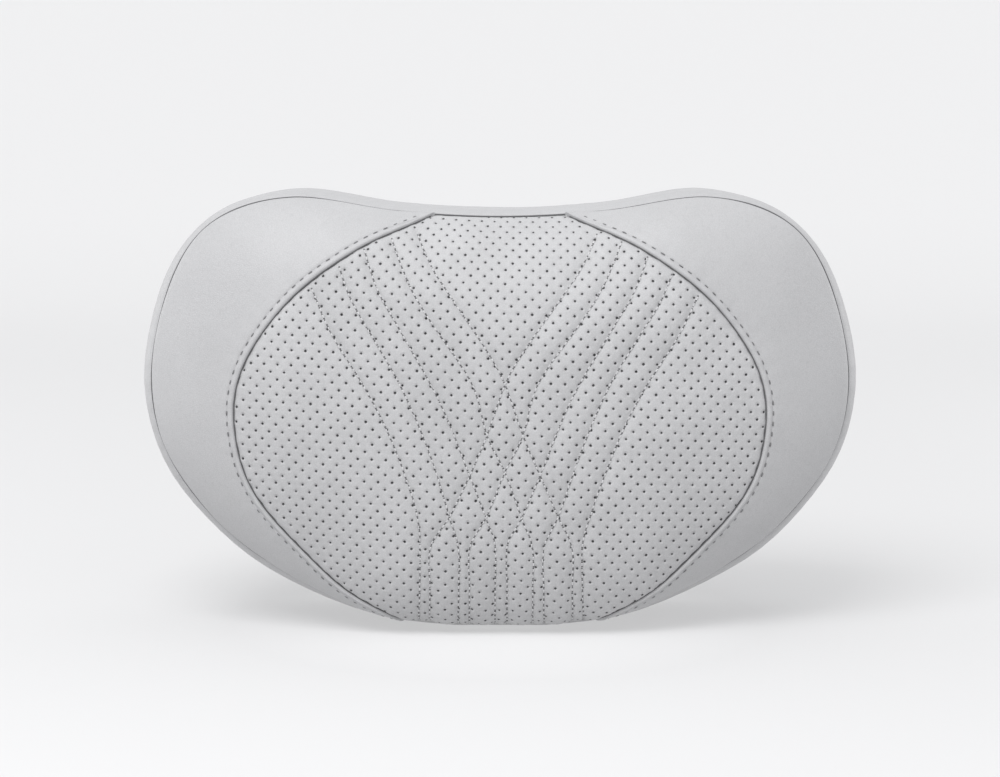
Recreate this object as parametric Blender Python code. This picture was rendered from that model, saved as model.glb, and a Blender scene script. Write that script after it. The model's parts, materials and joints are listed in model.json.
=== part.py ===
"""Shiatsu neck massager: a kidney-shaped leather pillow round a worm-driven kneading mechanism.

It stands on its lower edge. The front faces -Y, +X is the viewer's right and +Z is up. Sizes in
this script are millimetres, and to_mesh() turns them into metres.
"""

import math

import bmesh
import bpy
from mathutils import Matrix, Vector

MM = 0.001
MERGE = 0.001               # corners closer than this are one corner
SHARP_ANGLE = 35.0          # edges turning more than this many degrees stay sharp

# ---- Pillow outline and depth ----
CENTRE_Z = 105.0            # the rays of the front and rear panels start at this height
HALF_OUTLINE = ((22.0, 0.0), (69.0, 8.0), (122.0, 35.0), (158.0, 75.0), (170.0, 118.0),
                (160.0, 167.0), (136.0, 198.0), (98.0, 209.5), (48.0, 203.0), (0.0, 200.5))
OUTLINE_STEPS = 3           # points on each span between two outline points
SIDE_POWER, BOTTOM_POWER = 0.8, 0.5   # how the front panel rounds off at its rim
RIM_INSET = 4.5             # both rim seams lie this far inside the gusset's bulge
GUSSET_FLAT = 0.55          # share of the gusset's half width that stays full size
FRONT_SEAM_Y, REAR_SEAM_Y = -24.0, 34.0
FRONT_Y, REAR_Y = -57.5, 54.0
REAR_FLAT = 0.88            # the rear panel is flat out to this share of its radius
SEAM_GAP = 0.3
FRONT_RINGS = (1.0, 0.975, 0.92, 0.82, 0.66, 0.42)

# ---- Cover ----
LEATHER = 1.4
REAR_FABRIC = 1.2
SEAM_HALF = ((8.0, 209.0), (36.5, 196.5), (67.0, 182.5), (97.5, 159.5), (119.5, 128.5),
             (124.0, 98.5), (113.5, 65.0), (79.5, 28.0), (48.0, 9.0), (20.0, -6.0))
STRAP_Z, STRAP_WIDTH, STRAP_THICK = 120.0, 38.0, 1.6
STRAP_FLAT, STRAP_FAR = 138.0, 163.0  # half lengths of the strap's flat run and of the whole strap
STRAP_BEND_FROM, STRAP_BEND_SPAN = 146.0, 14.0    # where the strap turns over the rolled edge
STRAP_SPANS = 6
MOUNT_PATCH = (30.0, 66.0, 94.0)      # half width, low and high z of the back's mount patch
PATCH_RISE = 0.12                     # the patch stands this far proud, clear of zip and strap
ZIP_Z, ZIP_HALF, ZIP_TAPE, ZIP_COIL = 48.0, 100.0, 8.4, 3.2
ZIP_COIL_RISE, ZIP_TAPE_DROP = 0.8, 0.2           # coil above, and tape below, the rear panel
SLIDER_LENGTH, PULL_LENGTH = 11.0, 24.0
SLIDER_CLEAR, SLIDER_WALL, SLIDER_PLATE = 0.3, 0.8, 0.7
ZIP_PIN_R, KNUCKLE_R = 0.45, 0.75
ZIP_PIN_HALF, KNUCKLE_HALF = 2.6, 1.1
LUG_NEAR, LUG_FAR = 1.4, 2.3          # the slider's two lugs, either side of the pull's knuckle

# ---- Padding ----
PAD_NEAR, PAD_FAR = 1.7, 7.7          # depths of the front pad below the cover's face
LINER_NEAR, LINER_FAR = 8.0, 8.7
FOAM_NEAR = 9.2
FOAM_CLEAR = 2.0                      # the foam surround lies this far inside the gusset
REAR_PAD_SHARE, REAR_PAD_FACE_SHARE, REAR_PAD_SHOULDER = 0.93, 0.86, 46.0
POCKET_CLEAR = 0.6                    # between the foam and what it is cut out for

# ---- Drive ----
HEAD_X, HEAD_Z = 50.0, 115.0
GEAR_Y, GEAR_WIDTH = 16.0, 9.0
MODULE, WHEEL_TEETH = 1.5, 58
WHEEL_PITCH_R = MODULE * WHEEL_TEETH / 2
WORM_PITCH_R = HEAD_X - WHEEL_PITCH_R
WORM_LEAD = math.pi * MODULE
TOOTH_SHARE = 0.40                    # tooth thickness over pitch, on the pitch line
ADDENDUM, DEDENDUM = 1.3, 1.8
PRESSURE = math.tan(math.radians(20.0))
WORM_TURNS, WORM_STEPS = 8, 20
SHAFT_R, MOTOR_SHAFT_R, RUNNING = 4.0, 2.5, 0.1
MOTOR_R, MOTOR_LOW, MOTOR_HIGH = 18.0, 24.0, 78.0
MOTOR_WALL, END_CAP = 1.2, 6.0
RING_LOWS, RING_WIDTH, RING_THICK = (("lower", 36.0), ("upper", 64.0)), 8.0, 2.0
MAGNET_INNER, MAGNET_OUTER, MAGNET_ARC = 13.0, 16.5, 120.0
MAGNET_LOW, MAGNET_HIGH = 36.0, 72.0
ARMATURE_R, ARMATURE_LOW, ARMATURE_HIGH = 12.0, 38.0, 70.0
MOTOR_SHAFT_LOW, MOTOR_SHAFT_HIGH = 31.0, 156.0
WHEEL_HUB_R, WHEEL_HUB_HALF = 10.0, 8.0

# ---- Housing ----
HOUSE_R, HOUSE_WALL, FLANGE = 49.0, 2.5, 6.0
NECK_HALF, NECK_LOW = 23.0, 16.0
HOUSE_FRONT, HOUSE_REAR = -8.0, 40.0
FLANGE_THICK = 2.5
SCREW_R, SCREW_HEAD_R, SCREW_HEAD, SCREW_REACH = 1.45, 2.6, 2.0, 8.0
SCREW_HOLE_R, SCREW_ANGLES, NECK_SCREW_Z = 1.7, (50.0, -38.0), 30.0
BUSH_R, BUSH_FLANGE_R, BUSH_HOLE_R = 7.0, 9.0, 7.2
BUSH_FLANGE, BUSH_REACH = 1.3, 8.0
BOSS_R, BOSS_FRONT = 8.0, 28.0        # sleeves in the rear housing that carry the output shafts
BLOCK_HALF_X, BLOCK_REAR = 9.0, GEAR_Y + 8.0      # block that carries the worm's upper end
BLOCK_LOW, BLOCK_HIGH = 147.0, 157.0

# ---- Kneading heads ----
NODE_RADIUS, NODE_ORBIT, NODE_Y, NODE_BACK = 14.0, 26.0, -31.0, 12.5
NODE_TURN = math.radians(35.0)        # rest angle of the left head's arm from +X
CARRIER_FRONT, CARRIER_BACK, CARRIER_HALF = -17.0, -12.0, 12.0
POCKET_R = 43.5
NODE_BORE, NODE_REACH = 2.65, 2.4     # radius of a node's bore, and where it ends from its centre
PIN_R, PIN_HOLE_R, PIN_HEAD_R, PIN_HEAD = 2.5, 2.6, 4.0, 1.2
SHAFT_TAP_R, CARRIER_SCREW_R, CARRIER_SCREW_REACH = 2.0, 1.9, 8.0
CARRIER_SCREW_FACE_R, CARRIER_SCREW_HEAD_R, CARRIER_SCREW_TOP = 4.5, 5.5, 2.2

# ---- Controls, set in the right side of the gusset ----
PANEL_Y, PANEL_Z = 18.0, 118.0
PANEL_HALF_Y, PANEL_HALF_Z = 10.0, 21.0
PANEL_FACE, PANEL_BACK = 168.2, 165.0
PANEL_CORNER, BOARD_CORNER = 4.0, 3.0
BUTTON_Z, BUTTON_R, BUTTON_TOP = 128.0, 6.5, 169.9
JACK_Z, JACK_R, JACK_BORE = 106.0, 5.2, 3.1
BUTTON_STEM_R, BUTTON_STEM, BUTTON_SKIRT, BUTTON_EDGE = 2.0, 5.1, 3.2, 0.6
LIGHT_RING_INNER, LIGHT_RING_OUTER = BUTTON_R + 0.3, BUTTON_R + 1.9
SWITCH_HALF, SWITCH_HIGH, PLUNGER_R, PLUNGER_REACH = 3.0, 4.0, 1.7, 1.6
BOARD_X, BOARD_THICK, BOARD_INSET = 156.0, 1.6, 1.0
BOX_X, BOX_OPEN_X, BOX_WALL = 150.0, 163.0, 1.5
LEAD_Y, LEAD_Z, LEAD_R = 24.0, 100.0, 1.5


# ---------------------------------------------------------------- materials and mesh helpers
MATERIALS = {
    "leather": ((0.62, 0.62, 0.63), 0.45, 0.0),
    "rear_fabric": ((0.42, 0.42, 0.44), 0.85, 0.0),
    "elastic": ((0.30, 0.30, 0.32), 0.85, 0.0),
    "foam": ((0.80, 0.78, 0.66), 0.9, 0.0),
    "liner": ((0.25, 0.25, 0.27), 0.85, 0.0),
    "grey_plastic": ((0.35, 0.36, 0.38), 0.4, 0.0),
    "black_plastic": ((0.05, 0.05, 0.06), 0.4, 0.0),
    "nylon": ((0.78, 0.77, 0.70), 0.4, 0.0),
    "node_plastic": ((0.55, 0.30, 0.16), 0.3, 0.0),
    "steel": ((0.56, 0.56, 0.58), 0.3, 1.0),
    "brass": ((0.70, 0.52, 0.24), 0.3, 1.0),
    "rubber": ((0.04, 0.04, 0.04), 0.8, 0.0),
    "board_green": ((0.05, 0.22, 0.10), 0.45, 0.0),
    "light": ((0.55, 0.75, 0.90), 0.3, 0.0),
}


def material(name, slot):
    """A Principled material of the object's own."""
    colour, roughness, metallic = MATERIALS[slot]
    result = bpy.data.materials.new(name)
    result.use_nodes = True
    shader = result.node_tree.nodes["Principled BSDF"]
    shader.inputs["Base Color"].default_value = (*colour, 1.0)
    shader.inputs["Roughness"].default_value = roughness
    shader.inputs["Metallic"].default_value = metallic
    result.diffuse_color = (*colour, 1.0)
    return result


def to_mesh(name, bm, slot, location=(0.0, 0.0, 0.0)):
    """Turn a bmesh in millimetres, relative to location, into a named object in metres."""
    bmesh.ops.remove_doubles(bm, verts=bm.verts, dist=MERGE)
    bmesh.ops.recalc_face_normals(bm, faces=bm.faces)
    bmesh.ops.scale(bm, vec=(MM, MM, MM), verts=bm.verts)
    mesh = bpy.data.meshes.new(name)
    bm.to_mesh(mesh)
    bm.free()
    mesh.shade_smooth()
    mesh.set_sharp_from_angle(angle=math.radians(SHARP_ANGLE))
    if slot:
        mesh.materials.append(material(name, slot))
    obj = bpy.data.objects.new(name, mesh)
    obj.location = Vector(location) * MM
    bpy.context.scene.collection.objects.link(obj)
    return obj


def guide(obj):
    """Mark an object as a cutter, which is no part of the massager."""
    obj.hide_render = True
    obj.display_type = "WIRE"
    return obj


def boolean(obj, tool, operation="DIFFERENCE"):
    modifier = obj.modifiers.new(tool.name, "BOOLEAN")
    modifier.operation = operation
    modifier.solver = "EXACT"
    modifier.object = tool


AXIS_TURN = {
    "X": Matrix.Rotation(math.radians(90.0), 3, "Y"),
    "Y": Matrix.Rotation(math.radians(-90.0), 3, "X"),
    "Z": Matrix.Identity(3),
}


def lathe(name, profile, axis, location, slot, steps=24):
    """Turn a (radius, distance along the axis) profile; off the axis it must be a closed loop."""
    bm = bmesh.new()
    corners = [bm.verts.new((radius, 0.0, along)) for radius, along in profile]
    edges = [bm.edges.new(pair) for pair in zip(corners, corners[1:])]
    if profile[0][0] > 0.0:
        edges.append(bm.edges.new((corners[-1], corners[0])))
    bmesh.ops.spin(bm, geom=corners + edges, cent=(0, 0, 0), axis=(0, 0, 1),
                   angle=math.tau, steps=steps, use_merge=True)
    bmesh.ops.transform(bm, matrix=AXIS_TURN[axis].to_4x4(), verts=bm.verts)
    return to_mesh(name, bm, slot, location)


def tube_profile(inner, outer, low, high):
    return [(inner, low), (outer, low), (outer, high), (inner, high)]


def rod_profile(radius, low, high):
    return [(0.0, low), (radius, low), (radius, high), (0.0, high)]


def prism(name, outline, low, high, slot, axis="Y", location=(0.0, 0.0, 0.0)):
    """Extrude an (a, b) outline: (x, z) along Y, or (y, z) along X, or (x, y) along Z."""
    place = {"Y": lambda a, b, c: (a, c, b), "X": lambda a, b, c: (c, a, b),
             "Z": lambda a, b, c: (a, b, c)}[axis]
    bm = bmesh.new()
    face = bm.faces.new([bm.verts.new(place(a, b, low)) for a, b in outline])
    grown = bmesh.ops.extrude_face_region(bm, geom=[face])["geom"]
    top = [item for item in grown if isinstance(item, bmesh.types.BMVert)]
    bmesh.ops.translate(bm, vec=place(0.0, 0.0, high - low), verts=top)
    return to_mesh(name, bm, slot, location)


def box_outline(centre_a, centre_b, half_a, half_b, corner=0.0, steps=4):
    """A rectangle's outline, with round corners when corner is above zero."""
    if corner <= 0.0:
        return [(centre_a + sa * half_a, centre_b + sb * half_b)
                for sa, sb in ((1, 1), (-1, 1), (-1, -1), (1, -1))]
    points = []
    for quarter, (sa, sb) in enumerate(((1, 1), (-1, 1), (-1, -1), (1, -1))):
        for step in range(steps + 1):
            angle = math.radians(90.0) * (quarter + step / steps)
            points.append((centre_a + sa * (half_a - corner) + corner * math.cos(angle),
                           centre_b + sb * (half_b - corner) + corner * math.sin(angle)))
    return points


def box(name, low, high, slot=None):
    centre = [(a + b) / 2 for a, b in zip(low, high)]
    half = [(b - a) / 2 for a, b in zip(low, high)]
    return prism(name, box_outline(centre[0], centre[2], half[0], half[2]), low[1], high[1], slot)


def joined(bm, loops, closed=False):
    """Skin rings of equal length in order; closed also joins the last ring to the first."""
    rings = [[bm.verts.new(point) for point in loop] for loop in loops]
    pairs = list(zip(rings, rings[1:]))
    if closed:
        pairs.append((rings[-1], rings[0]))
    for lower, upper in pairs:
        for i, corner in enumerate(lower):
            after = (i + 1) % len(lower)
            bm.faces.new((corner, lower[after], upper[after], upper[i]))
    return rings


# ---------------------------------------------------------------- pillow shape
def smooth_line(points, steps, closed):
    """Catmull-Rom curve through points, with steps points on each span."""
    count = len(points)
    spans = count if closed else count - 1
    result = []
    for i in range(spans):
        around = [points[(i + k) % count] if closed else points[min(max(i + k, 0), count - 1)]
                  for k in (-1, 0, 1, 2)]
        a, b, c, d = (Vector(point) for point in around)
        for step in range(steps):
            t = step / steps
            result.append(0.5 * (2 * b + (c - a) * t + (2 * a - 5 * b + 4 * c - d) * t * t
                                 + (3 * b - a - 3 * c + d) * t * t * t))
    if not closed:
        result.append(Vector(points[-1]))
    return result


def moved_in(loop, distance):
    """A loop moved inward by distance, along each corner's normal."""
    result = []
    for i, point in enumerate(loop):
        along = loop[(i + 1) % len(loop)] - loop[i - 1]
        inward = Vector((-along.y, along.x)).normalized()
        result.append(point + inward * distance)
    return result


def pillow_outline():
    """The gusset's full outline as (x, z), anticlockwise as the front is seen."""
    left = [(-x, z) for x, z in reversed(HALF_OUTLINE[:-1])]
    loop = smooth_line(HALF_OUTLINE + tuple(left), OUTLINE_STEPS, True)
    return [Vector((point.x, max(point.y, 0.0))) for point in loop]


OUTLINE = pillow_outline()
RIM = moved_in(OUTLINE, RIM_INSET)
CENTRE = Vector((0.0, CENTRE_Z))


def front_y(share, ray):
    """Front panel's y, share of the way along the unit ray from the centre to the rim."""
    down = min(1.0, max(0.0, (-ray.y - 0.5) / 0.4))
    power = SIDE_POWER + (BOTTOM_POWER - SIDE_POWER) * down * down * (3.0 - 2.0 * down)
    return FRONT_SEAM_Y + (FRONT_Y - FRONT_SEAM_Y) * max(0.0, 1.0 - share ** 3) ** power


def rear_y(share):
    """Rear panel's y: flat, then a quarter ellipse down to the rear seam."""
    past = max(0.0, (share - REAR_FLAT) / (1.0 - REAR_FLAT))
    return REAR_SEAM_Y + (REAR_Y - REAR_SEAM_Y) * math.sqrt(max(0.0, 1.0 - past * past))


def gusset_inset(y):
    """How far the gusset lies inside the outline at depth y."""
    half = (REAR_SEAM_Y - FRONT_SEAM_Y) / 2
    past = abs(y - (REAR_SEAM_Y + FRONT_SEAM_Y) / 2) / half
    return RIM_INSET * max(0.0, (past - GUSSET_FLAT) / (1.0 - GUSSET_FLAT)) ** 2


def ring(share, y):
    """The rim scaled about the centre, at depth y."""
    return [Vector((p.x, y, p.y)) for p in (CENTRE + (q - CENTRE) * share for q in RIM)]


def front_ring(share):
    """One ring of the front panel's outer face."""
    lift = SEAM_GAP / 2 if share == 1.0 else 0.0
    loop = []
    for corner in RIM:
        ray = corner - CENTRE
        point = CENTRE + ray * share
        loop.append(Vector((point.x, front_y(share, ray.normalized()) - lift, point.y)))
    return loop


def front_sheet(first=0):
    """Open bmesh of the front panel's outer face, from one of FRONT_RINGS inward."""
    bm = bmesh.new()
    rings = joined(bm, [front_ring(share) for share in FRONT_RINGS[first:]])
    tip = bm.verts.new((0.0, FRONT_Y, CENTRE_Z))
    for i, corner in enumerate(rings[-1]):
        bm.faces.new((corner, rings[-1][(i + 1) % len(rings[-1])], tip))
    bmesh.ops.recalc_face_normals(bm, faces=bm.faces)
    if sum(face.normal.y for face in bm.faces) > 0:
        bmesh.ops.reverse_faces(bm, faces=bm.faces)
    bm.normal_update()
    return bm


def sheet_between(near, far, first=0):
    """Closed bmesh between two depths below the front panel's outer face."""
    bm = front_sheet(first)
    outer = list(bm.verts)
    skin = list(bm.faces)
    border = [edge for edge in bm.edges if edge.is_boundary]
    normals = {vert: vert.normal.copy() for vert in outer}
    if first == 0:
        for vert in (corner for edge in border for corner in edge.verts):
            normals[vert] = Vector((vert.normal.x, 0.0, vert.normal.z)).normalized()
    inner = {vert: bm.verts.new(vert.co - normals[vert] * far) for vert in outer}
    for face in skin:
        bm.faces.new([inner[vert] for vert in reversed(face.verts)])
    for edge in border:
        a, b = edge.verts
        bm.faces.new((a, b, inner[b], inner[a]))
    for vert in outer:
        vert.co -= normals[vert] * near
    return bm


# ---------------------------------------------------------------- cover
def seam_outline(grow):
    """Outline of the centre panel's seam, moved outward by grow."""
    half = smooth_line(SEAM_HALF, OUTLINE_STEPS, False)
    loop = [Vector((-p.x, p.y)) for p in half] + [p for p in reversed(half)]
    return [(p.x, p.y) for p in moved_in(loop, -grow)]


def make_front_panels():
    """Perforated centre panel and two plain side panels, cut from one domed skin."""
    reach = FRONT_Y - 20.0
    inner = guide(prism("centre_panel_cutter", seam_outline(-SEAM_GAP / 2), reach, 0.0, None))
    outer = guide(prism("side_panel_cutter", seam_outline(SEAM_GAP / 2), reach, 0.0, None))
    centre = to_mesh("front_center_panel", sheet_between(0.0, LEATHER), "leather")
    boolean(centre, inner, "INTERSECT")
    for side, sign in (("left", -1), ("right", 1)):
        panel = to_mesh(side + "_side_panel", sheet_between(0.0, LEATHER), "leather")
        far = sign * 200.0
        half = guide(box(side + "_half_cutter", (min(0.0, far), reach, -30.0),
                         (max(0.0, far), 0.0, 240.0)))
        boolean(panel, half, "INTERSECT")
        boolean(panel, outer)


def make_gusset():
    """Leather band between the two rim seams, with the opening for the control panel."""
    low, high = FRONT_SEAM_Y + SEAM_GAP / 2, REAR_SEAM_Y - SEAM_GAP / 2
    depths = (low, low + 4.0, low + 14.0, high - 14.0, high - 4.0, high)
    outer = [(y, gusset_inset(y)) for y in depths]
    loops = []
    for y, inset in outer + [(y, inset + LEATHER) for y, inset in reversed(outer)]:
        loops.append([Vector((p.x, y, p.y)) for p in moved_in(OUTLINE, inset)])
    bm = bmesh.new()
    joined(bm, loops, closed=True)
    gusset = to_mesh("side_gusset", bm, "leather")
    opening = box_outline(PANEL_Y, PANEL_Z, PANEL_HALF_Y + SEAM_GAP, PANEL_HALF_Z + SEAM_GAP,
                          PANEL_CORNER + SEAM_GAP)
    boolean(gusset, guide(prism("panel_opening_cutter", opening, 150.0, 180.0, None, "X")))


def make_rear_panel():
    """Flat back with a rolled edge, a plain flat patch for the back mount and the zip's slot."""
    half, low, high = MOUNT_PATCH
    loops = []
    for share in (1.0, 0.99, 0.96, 0.92, REAR_FLAT):
        lift = SEAM_GAP / 2 if share == 1.0 else 0.0
        loops.append(ring(share, rear_y(share) + lift))
    patch = []
    middle = Vector((0.0, (low + high) / 2))
    for point in RIM:
        ray = point - CENTRE
        reach = min(half / max(abs(ray.x), 1e-6), (high - low) / 2 / max(abs(ray.y), 1e-6))
        spot = middle + ray * reach
        patch.append(Vector((spot.x, REAR_Y + PATCH_RISE, spot.y)))
    loops.append(patch)
    drop = Vector((0.0, REAR_FABRIC, 0.0))
    inner = [[Vector((p.x, p.y, p.z)) - drop for p in loop] for loop in loops[1:]]
    edge = [Vector((p.x, loops[0][0].y, p.y)) for p in moved_in(RIM, REAR_FABRIC)]
    bm = bmesh.new()
    shrunk = [edge]
    for loop in inner[:-2]:
        flat = [Vector((p.x, p.z)) for p in loop]
        shrunk.append([Vector((q.x, p.y, q.y)) for p, q in zip(loop, moved_in(flat, REAR_FABRIC))])
    shrunk += inner[-2:]
    rings = joined(bm, list(reversed(loops)) + shrunk)
    bm.faces.new(rings[0])
    bm.faces.new(rings[-1])
    panel = to_mesh("rear_panel", bm, "rear_fabric")
    slot = box_outline(0.0, ZIP_Z, ZIP_HALF + SEAM_GAP, ZIP_TAPE / 2 + SEAM_GAP)
    boolean(panel, guide(prism("zip_slot_cutter", slot, REAR_Y - 5.0, REAR_Y + 5.0, None)))


def surface_share(x, z):
    """Share of the way from the centre to the rim at a point, seen along Y."""
    ray = Vector((x, z)) - CENTRE
    for a, b in zip(RIM, RIM[1:] + RIM[:1]):
        side = b - a
        across = ray.x * side.y - ray.y * side.x
        if abs(across) < 1e-9:
            continue
        offset = a - CENTRE
        reach = (offset.x * side.y - offset.y * side.x) / across
        along = (offset.x * ray.y - offset.y * ray.x) / across
        if reach > 0.0 and 0.0 <= along <= 1.0:
            return 1.0 / reach
    return 0.0


def make_strap():
    """Elastic head-rest strap lying flat across the back, its ends turned over the rolled edge."""
    clear = SEAM_GAP + 0.1
    stations = [STRAP_FLAT + (STRAP_FAR - STRAP_FLAT) * i / STRAP_SPANS for i in range(STRAP_SPANS + 1)]
    stations = [-x for x in reversed(stations)] + stations
    under, over = [], []
    for x in stations:
        edges = (STRAP_Z - STRAP_WIDTH / 2, STRAP_Z, STRAP_Z + STRAP_WIDTH / 2)
        y = max(rear_y(min(surface_share(x, z), 1.0)) for z in edges)
        slope = max(0.0, min(1.0, (abs(x) - STRAP_BEND_FROM) / STRAP_BEND_SPAN))
        lean = Vector((math.copysign(slope, x), 1.0 - 0.4 * slope)).normalized()
        under.append(Vector((x, y)) + lean * clear)
        over.append(Vector((x, y)) + lean * (clear + STRAP_THICK))
    outline = [(p.x, p.y) for p in under + list(reversed(over))]
    low, high = STRAP_Z - STRAP_WIDTH / 2, STRAP_Z + STRAP_WIDTH / 2
    prism("headrest_strap", outline, low, high, "elastic", "Z")


def make_zip():
    """Zip across the lower back: tape with its coil, the slider that runs on it, and the pull."""
    tape_low, tape_high = REAR_Y - REAR_FABRIC, REAR_Y - ZIP_TAPE_DROP
    coil_high = REAR_Y + ZIP_COIL_RISE
    half, coil = ZIP_TAPE / 2, ZIP_COIL / 2
    profile = [(-half, tape_low), (half, tape_low), (half, tape_high), (coil, tape_high),
               (coil, coil_high), (-coil, coil_high), (-coil, tape_high), (-half, tape_high)]
    outline = [(y, ZIP_Z + z) for z, y in profile]
    prism("zip_track", outline, -ZIP_HALF, ZIP_HALF, "black_plastic", "X")

    start = -ZIP_HALF + SLIDER_LENGTH / 2 + 2.0
    inner = coil + SLIDER_CLEAR
    outer = inner + SLIDER_WALL
    under, top = coil_high + SLIDER_CLEAR, coil_high + SLIDER_CLEAR + SLIDER_PLATE
    skirt = REAR_Y + ZIP_TAPE_DROP
    profile = [(-outer, skirt), (-inner, skirt), (-inner, under), (inner, under), (inner, skirt),
               (outer, skirt), (outer, top), (-outer, top)]
    slider = prism("zip_slider", [(y, z) for z, y in profile], -SLIDER_LENGTH / 2,
                   SLIDER_LENGTH / 2, "steel", "X", (start, 0.0, ZIP_Z))
    pivot_y = top + 0.9
    for side, sign in (("left", -1), ("right", 1)):
        ends = sorted((start + sign * LUG_NEAR, start + sign * LUG_FAR))
        ear = guide(prism("zip_lug_" + side, box_outline(top + 0.65, ZIP_Z, 1.05, 0.75, 0.4, 3),
                          ends[0], ends[1], None, "X"))
        boolean(slider, ear, "UNION")
    hole = guide(lathe("zip_pin_cutter", rod_profile(ZIP_PIN_R + RUNNING, -4.0, 4.0), "X",
                       (start, pivot_y, ZIP_Z), None, 12))
    boolean(slider, hole)

    pivot = (start, pivot_y, ZIP_Z)
    pin = [(0.0, -ZIP_PIN_HALF), (ZIP_PIN_R, -ZIP_PIN_HALF), (ZIP_PIN_R, -KNUCKLE_HALF),
           (KNUCKLE_R, -KNUCKLE_HALF)]
    pull = lathe("zip_pull", pin + [(radius, -along) for radius, along in reversed(pin)],
                 "X", pivot, "steel", 12)
    tongue = [(-0.9, -0.2), (-2.6, -7.0), (-3.0, -PULL_LENGTH + 3.0), (-1.6, -PULL_LENGTH),
              (1.6, -PULL_LENGTH), (3.0, -PULL_LENGTH + 3.0), (2.6, -7.0), (0.9, -0.2)]
    leaf = guide(prism("zip_pull_leaf", tongue, -0.4, 0.4, None, "Y", pivot))
    boolean(pull, leaf, "UNION")


# ---------------------------------------------------------------- padding
def stadium(radius, steps):
    """Outline round both output shafts as (x, z), anticlockwise from the right half's foot."""
    points = []
    for centre, start in ((HEAD_X, -90.0), (-HEAD_X, 90.0)):
        for step in range(steps + 1):
            angle = math.radians(start + 180.0 * step / steps)
            points.append((centre + radius * math.cos(angle), HEAD_Z + radius * math.sin(angle)))
    return points


def housing_outline(grow):
    """Stadium with the motor's neck below, grown outward by grow."""
    radius = HOUSE_R + grow
    neck = NECK_HALF + grow
    low = NECK_LOW - grow
    foot = HEAD_Z - radius
    return stadium(radius, 16) + [(-neck, foot), (-neck, low), (neck, low), (neck, foot)]


def make_foam():
    """Front pad, liner over the heads, the foam round the mechanism, and the rear pad."""
    to_mesh("front_pad", sheet_between(PAD_NEAR, PAD_FAR, 1), "foam")
    to_mesh("inner_liner", sheet_between(LINER_NEAR, LINER_FAR, 1), "liner")

    sheet = front_sheet(1)
    count = len(OUTLINE)
    verts = list(sheet.verts)
    front = []
    for row in range(len(FRONT_RINGS) - 2):
        front.append([v.co - v.normal * FOAM_NEAR for v in verts[row * count:(row + 1) * count]])
    sheet.free()
    loops = []
    for y, inset in ((HOUSE_REAR, RIM_INSET + 9.0), (REAR_SEAM_Y, RIM_INSET + 4.0),
                     (REAR_SEAM_Y - 5.0, gusset_inset(REAR_SEAM_Y - 5.0) + FOAM_CLEAR + 0.4),
                     (REAR_SEAM_Y - 14.0, FOAM_CLEAR), (FRONT_SEAM_Y + 14.0, FOAM_CLEAR),
                     (FRONT_SEAM_Y + 5.0, gusset_inset(FRONT_SEAM_Y + 5.0) + FOAM_CLEAR + 0.4),
                     (FRONT_SEAM_Y + 2.0, RIM_INSET + FOAM_CLEAR)):
        loops.append([Vector((p.x, y, p.y)) for p in moved_in(OUTLINE, inset)])
    bm = bmesh.new()
    rings = joined(bm, loops + front)
    bm.faces.new(rings[0])
    tip = bm.verts.new(sum((v.co for v in rings[-1]), Vector()) / count)
    for i, corner in enumerate(rings[-1]):
        bm.faces.new((corner, rings[-1][(i + 1) % count], tip))
    foam = to_mesh("foam_surround", bm, "foam")
    house = prism("housing_pocket_cutter", housing_outline(FLANGE + 0.5), HOUSE_FRONT - 2.0,
                  HOUSE_REAR + 5.0, None)
    heads = prism("head_pocket_cutter", stadium(POCKET_R, 14), FRONT_Y, HOUSE_FRONT, None)
    half_y, half_z = PANEL_HALF_Y + 1.0 + POCKET_CLEAR, PANEL_HALF_Z + 1.0 + POCKET_CLEAR
    control = box("control_pocket_cutter",
                  (BOX_X - POCKET_CLEAR, PANEL_Y - half_y, PANEL_Z - half_z),
                  (180.0, PANEL_Y + half_y, PANEL_Z + half_z))
    channel = lathe("lead_channel_cutter", rod_profile(LEAD_R + 0.8, 90.0, BOX_X + 5.0), "X",
                    (0.0, LEAD_Y, LEAD_Z), None, 12)
    for tool in (house, heads, control, channel):
        boolean(foam, guide(tool))

    bm = bmesh.new()
    rings = joined(bm, [ring(REAR_PAD_SHARE, HOUSE_REAR + 0.5),
                        ring(REAR_PAD_SHARE, REAR_PAD_SHOULDER),
                        ring(REAR_PAD_FACE_SHARE, REAR_Y - REAR_FABRIC - 0.4)])
    bm.faces.new(rings[0])
    bm.faces.new(rings[-1])
    to_mesh("rear_pad", bm, "foam")


# ---------------------------------------------------------------- housing
def screw_places():
    """Six flange screws as (x, z): four round the stadium and two beside the motor."""
    mid = HOUSE_R + FLANGE / 2 + 0.2
    places = []
    for sign in (1, -1):
        for angle in SCREW_ANGLES:
            turn = math.radians(angle)
            places.append((sign * (HEAD_X + mid * math.cos(turn)), HEAD_Z + mid * math.sin(turn)))
        places.append((sign * (NECK_HALF + FLANGE / 2 + 0.2), NECK_SCREW_Z))
    return places


def drill(name, radius, low, high, places, steps=12):
    """One cutter with a round hole at each (x, z) place."""
    bm = bmesh.new()
    for x, z in places:
        matrix = Matrix.Translation((x, (low + high) / 2, z)) @ AXIS_TURN["Y"].to_4x4()
        bmesh.ops.create_cone(bm, cap_ends=True, segments=steps, radius1=radius, radius2=radius,
                              depth=high - low, matrix=matrix)
    return guide(to_mesh(name, bm, None))


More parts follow.
